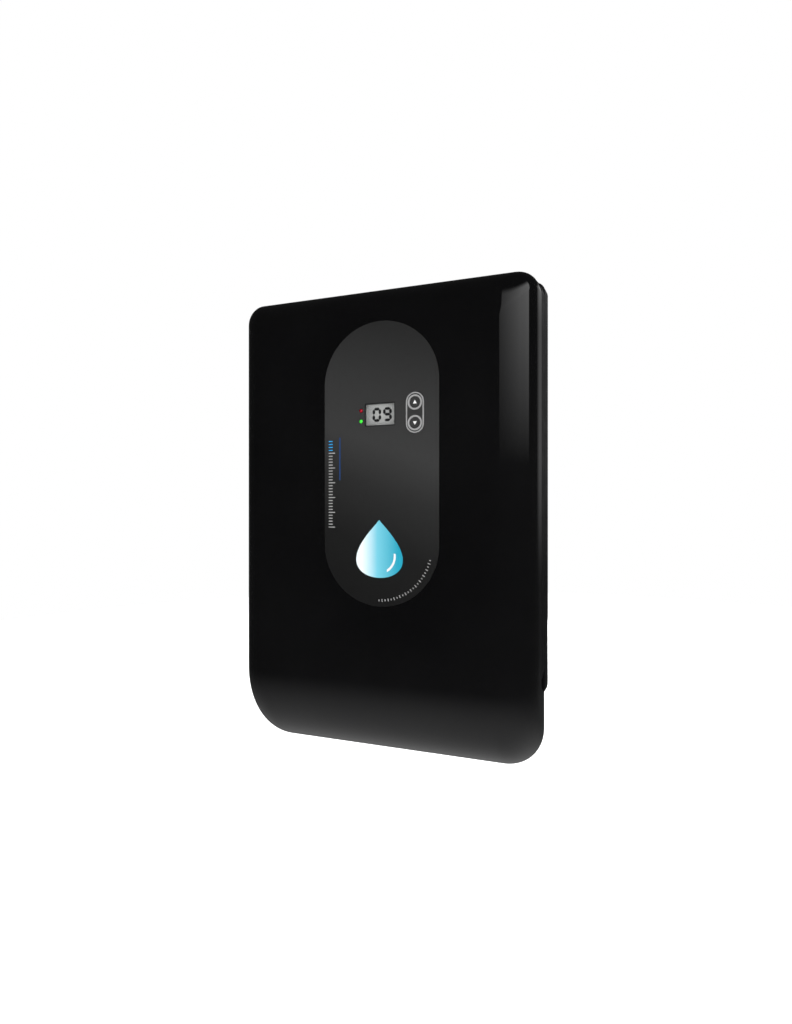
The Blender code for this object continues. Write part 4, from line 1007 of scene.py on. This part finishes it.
def populate(name, board_low, board_high, clear_of, circuits, chips, vias, seed):
    """Small parts, vias and white outlines on a board's front, clear of everything that stands on it."""
    draw = Random(seed)
    front = board_low.y
    taken = on_board(front) + clear_of
    outlines = [silk_frame(low, high, front) for low, high in on_board(front)]
    bodies, brown, bright = [], [], []
    for kind in ["circuit"] * circuits + ["chip"] * chips:
        half = CIRCUIT_HALF if kind == "circuit" else draw.choice([SMALL_CHIP, LARGE_CHIP])
        for _ in range(TRIES):
            x, z = random_place(draw, board_low, board_high, BOARD_MARGIN)
            centre = (round(x / GRID) * GRID, round(z / GRID) * GRID)
            turned = draw.random() < 0.5
            spans = half[::-1] if turned else half
            reach = (spans[0] + CIRCUIT_LEG, spans[1] + CIRCUIT_LEG) if kind == "circuit" else spans
            if overlaps(centre, reach, taken, SPACING):
                continue
            low = Vector((centre[0] - reach[0], 0, centre[1] - reach[1]))
            taken.append((low, Vector((centre[0] + reach[0], 0, centre[1] + reach[1]))))
            if kind == "circuit":
                body, metal_parts = small_outline(centre, half, front, turned)
            else:
                body, metal_parts = chip(centre, half, front, turned)
            (brown if half == LARGE_CHIP else bodies).append(body)
            bright += metal_parts
            break
    for _ in range(vias):
        x, z = random_place(draw, board_low, board_high, VIA_MARGIN)
        if not overlaps((x, z), VIA_HALF, taken, VIA_SPACING):
            bright.append(disc(x, z, VIA_RADIUS, front - VIA_HEIGHT, front, 12))
    detail(f"{name}_bodies", merged(bodies), "unit", "component_black")
    detail(f"{name}_capacitors", merged(brown), "unit", "component_black", SMD_BROWN)
    detail(f"{name}_solder", merged(bright), "unit", "steel", SOLDER)
    detail(f"{name}_outlines", merged(outlines), "unit", "nylon_white", WHITE_INK)


def silk_frame(low, high, front):
    """A printed rectangle round a part's foot, left open at one corner."""
    x0, x1, z0, z1 = low.x - SILK_GAP, high.x + SILK_GAP, low.z - SILK_GAP, high.z + SILK_GAP
    line, top = SILK_LINE, front - SILK_HEIGHT
    bars = [
        ((x0 - line, z0 - line), (x1 - SILK_OPEN, z0 + line)),
        ((x0 - line, z1 - line), (x1 + line, z1 + line)),
        ((x0 - line, z0 + line * 2), (x0 + line, z1 - line * 2)),
        ((x1 - line, z0 + SILK_OPEN), (x1 + line, z1 - line * 2)),
    ]
    return merged([box((a[0], top, a[1]), (b[0], front, b[1])) for a, b in bars])


def make_controller_legs():
    """The fine legs on all four sides of the microcontroller, and its dot."""
    low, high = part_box("microcontroller")
    centre, pitch, leg_half = middle(low, high), 0.0008, (0.0006, 0.00015)
    span = (main_board_low.y - 0.0004, main_board_low.y)
    reach = (high.x - low.x) / 2 + leg_half[0]
    legs = []
    for n in range(CONTROLLER_LEGS):
        step = (n - CONTROLLER_LEGS // 2) * pitch
        for side in (-1, 1):
            legs.append(centred_box(centre.x + side * reach, centre.z + step, leg_half, *span))
            legs.append(centred_box(centre.x + step, centre.z + side * reach, leg_half[::-1], *span))
    detail("microcontroller_legs", merged(legs), "unit", "steel", SOLDER)
    dot = disc(low.x + 0.0016, high.z - 0.0016, 0.0005, low.y - 0.00003, low.y + 0.0001, 16)
    detail("microcontroller_dot", dot, "unit", "nylon_white", WHITE_INK)


def make_terminal_screws():
    """A slotted screw in each well of the terminal blocks."""
    screws, slots = [], []
    for name, ways in TERMINAL_WAYS.items():
        low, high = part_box(f"{name}_terminal_block")
        wide, centre = high.x - low.x, middle(low, high)
        radius = wide / ways * SCREW_SHARE
        z = centre.z + (high.z - low.z) * SCREW_RISE
        top = low.y + SCREW_SINK
        profile = [(radius, top + 0.0022), (radius, top + 0.0003), (radius * 0.85, top), (0.0, top)]
        slot_half = (radius * SLOT_WIDE, radius * SLOT_TALL)
        for way in range(ways):
            x = centre.x + (way - (ways - 1) / 2) * wide / ways
            screws.append(lathed(profile, Vector((x, 0, z)), "Y", 28))
            slots.append(centred_box(x, z, slot_half, top - 0.001, top + 0.0008))
    cut(detail("terminal_screws", merged(screws), "unit", "steel"), merged(slots))


def make_capacitor_tops():
    """The bare can end inside each capacitor's sleeve, scored with a cross."""
    tops, scores = [], []
    for name in CAPACITORS:
        low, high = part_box(name)
        at, radius = middle(low, high), (high.x - low.x) / 2 * CAN_SHARE
        tops.append(disc(at.x, at.z, radius, low.y - 0.00015, low.y + 0.0005, 40))
        for half in ((radius * SCORE_SHARE, SCORE_WIDTH), (SCORE_WIDTH, radius * SCORE_SHARE)):
            scores.append(centred_box(at.x, at.z, half, low.y - 0.001, low.y - 0.00003))
    piece = detail("capacitor_tops", merged(tops), "unit", "aluminium")
    for score in scores:
        cut(piece, score)


def make_fuse_caps():
    """The plated caps over the ends of the fuse's glass."""
    low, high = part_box("fuse")
    centre, radius = middle(low, high), (high.z - low.z) / 2 + 0.00003
    for number, (start, end) in enumerate(((low.x, low.x + FUSE_CAP), (high.x - FUSE_CAP, high.x)), 1):
        outline = [(start, y, z) for y, z in circle((centre.y, centre.z), radius, 40)]
        detail(f"fuse_cap_{number}", extruded(outline, (end - start, 0, 0)), "unit", "steel")


def make_board_details():
    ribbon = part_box("ribbon_cable")
    main, display = (main_board_low, main_board_high), (display_board_low, display_board_high)
    populate("main_board", *main, [], circuits=9, chips=90, vias=120, seed=7)
    populate("display_board", *display, [ribbon], circuits=3, chips=26, vias=30, seed=11)
    make_controller_legs()
    make_terminal_screws()
    make_capacitor_tops()
    make_fuse_caps()


# ---- CAD nodes that stay

# Nodes by the width of the rounding on their hard edges.
BEVELS = {
    0.0006: ("wall_bracket", "polarity_relay_1", "polarity_relay_2"),
    0.0005: ("casing", "transformer_core"),
    0.0004: ("power_switch_housing", "power_switch_rocker"),
    0.0003: (
        "heat_sink", "fuse_holder", "main_ribbon_header", "display_ribbon_header",
        "output_transistor_1", "output_transistor_2",
        "mains_terminal_block", "sensor_terminal_block", "cell_terminal_block",
    ),
    0.0002: ("display_window", "microcontroller"),
}


def finish_cad_nodes():
    for part in frame["record"]["subparts"]:
        materials = frame["nodes"][part["node"]].data.materials
        materials.clear()
        materials.append(FINISH[part["material_slot"]])
    for width, names in BEVELS.items():
        for name in names:
            soften(frame["nodes"][name], width)


# ---- studio

# Bearings run from straight in front towards the right. Heights are the upward part of a direction.
SOFTBOX_BEARINGS = (radians(12), radians(104))
SOFTBOX_EDGES = (0.01, 0.02)
SOFTBOX_FULL_BEARING = radians(72)
SOFTBOX_NEAR_SHARE = 0.32
SOFTBOX_RISE = (0.072, 0.330)
SOFTBOX_FALL = (0.80, 0.62)
SOFTBOX_RADIANCE = 1.8
WALL_BEARING = radians(150)
WALL_EDGE = 0.04
WALL_TOP = (0.44, 0.36)
# Two steps of the wall's light: from height, to height, from radiance, to radiance.
WALL_STEPS = ((-0.12, 0.10, 0.0, 0.14), (0.26, 0.36, 0.0, 0.25))
FLOOR_FALL = (-0.18, -0.95)
FLOOR_RADIANCE = 0.43
ROOM_RADIANCE = 0.022

FLOOR_CENTRE = Vector((0.0, 0.5, 0.0))
FLOOR_RADIUS = 1.7
FLOOR_Z = -0.36
FLOOR_THICKNESS = 0.01
FLOOR_GLOW = (-1.1, -0.25)

# Place, target, size and radiance of each light. They light the matt parts, and no reflection shows them.
LIGHTS = {
    "softbox_right": ((1.05, -0.44, 0.30), (0.12, -0.06, 0.0), (2.6, 0.46), 1.2),
    "fill_front": ((0.10, -1.30, 0.45), (0.0, -0.08, 0.0), (1.0, 0.8), 4.5),
    "fill_top": ((-0.2, -0.2, 1.2), (0.0, 0.0, 0.0), (1.0, 1.0), 0.8),
    "fill_back": ((-0.05, 1.5, 0.15), (0.0, 0.0, 0.0), (0.5, 0.6), 24.0),
}

CAMERA_PLACE = (0.2539, FRONT_Y - 0.5601, -0.019)
CAMERA_TURN = radians(22.1)
CAMERA_LENS = 23.30
CAMERA_SENSOR = 36.0
CAMERA_CLIP = 0.01


def emission_floor():
    """Pale floor of a light table: even near the unit, and dimmer towards its front edge."""
    nodes = Nodes("pale_floor")
    nodes.paint(nodes.noise(3.0), [(0.3, (0.86, 0.86, 0.86)), (0.7, (0.9, 0.9, 0.9))])
    glow = nodes.ranged(nodes.along("Y"), *FLOOR_GLOW)
    lit = {"Roughness": 0.9, "Emission Color": (1, 1, 1, 1), "Emission Strength": glow}
    nodes.feed(nodes.shader, lit)
    return nodes.material


def make_floor():
    rim = [(FLOOR_RADIUS, FLOOR_Z - FLOOR_THICKNESS), (FLOOR_RADIUS, FLOOR_Z)]
    floor = add("floor", lathed(rim, FLOOR_CENTRE, "Z", 96), None, emission_floor())
    floor.visible_glossy = False


def make_world():
    """White to the camera. Reflections get a dark studio with a tall softbox on the right, a dim wall behind
    the unit's right side, and a floor that is brightest straight below."""
    world = bpy.data.worlds.new("studio")
    bpy.context.scene.world = world
    sky = Graph(world)
    place = sky.node("ShaderNodeTexCoord", {}).outputs["Generated"]
    x, y, z = sky.node("ShaderNodeSeparateXYZ", {"Vector": place}).outputs
    bearing = sky.maths("ARCTAN2", x, sky.maths("MULTIPLY", y, -1.0))
    (near, far), (near_edge, far_edge) = SOFTBOX_BEARINGS, SOFTBOX_EDGES
    softbox = sky.product(
        sky.smooth(bearing, near - near_edge, near + near_edge),
        sky.smooth(bearing, far + far_edge, far - far_edge),
        sky.ranged(bearing, near, SOFTBOX_FULL_BEARING, SOFTBOX_NEAR_SHARE),
        sky.ranged(z, *SOFTBOX_RISE, 0.0, SOFTBOX_RADIANCE),
        sky.smooth(z, *SOFTBOX_FALL),
    )
    wall = sky.product(
        sky.smooth(bearing, WALL_BEARING - WALL_EDGE, WALL_BEARING + WALL_EDGE),
        sky.smooth(z, *WALL_TOP),
        sky.maths("ADD", *(sky.smooth(z, *step) for step in WALL_STEPS)),
    )
    below = sky.smooth(z, *FLOOR_FALL, 0.0, FLOOR_RADIANCE)
    glow = sky.maths("ADD", sky.maths("ADD", softbox, wall), sky.maths("ADD", below, ROOM_RADIANCE))
    seen = sky.node("ShaderNodeLightPath", {}).outputs["Is Camera Ray"]
    strength = sky.node("ShaderNodeMix", {"Factor": seen, "A": glow, "B": 1.0}).outputs["Result"]
    sky.feed(sky.tree.nodes["Background"], {"Strength": strength, "Color": (1, 1, 1, 1)})


def make_lights():
    """Rectangular lights, each of a given radiance and turned to its target."""
    for name, (place, target, size, radiance) in LIGHTS.items():
        light = bpy.data.lights.new(name, "AREA")
        light.shape = "RECTANGLE"
        light.size, light.size_y = size
        light.energy = radiance * pi * size[0] * size[1]
        stand = bpy.data.objects.new(name, light)
        stand.location = place
        stand.rotation_euler = (Vector(target) - Vector(place)).to_track_quat("-Z", "Y").to_euler()
        stand.visible_glossy = False
        stand.visible_camera = False
        bpy.context.scene.collection.objects.link(stand)


def make_camera():
    """Where the unit is seen from: level with its middle, to its right, through a wide lens."""
    camera = bpy.data.cameras.new("camera")
    camera.sensor_width = CAMERA_SENSOR
    camera.lens = CAMERA_LENS
    camera.clip_start = CAMERA_CLIP
    view = bpy.data.objects.new("camera", camera)
    view.location = CAMERA_PLACE
    view.rotation_euler = (radians(90), 0, CAMERA_TURN)
    bpy.context.scene.collection.objects.link(view)
    bpy.context.scene.camera = view


make_camera()
make_world()
make_lights()
make_floor()
finish_cad_nodes()
make_hood()
make_overlay()
make_window_border()
make_emblem()
make_scale()
make_arc()
make_key_surround()
make_keys()
make_display()
make_lamps()
make_board_details()
bpy.context.scene.view_settings.view_transform = "Standard"
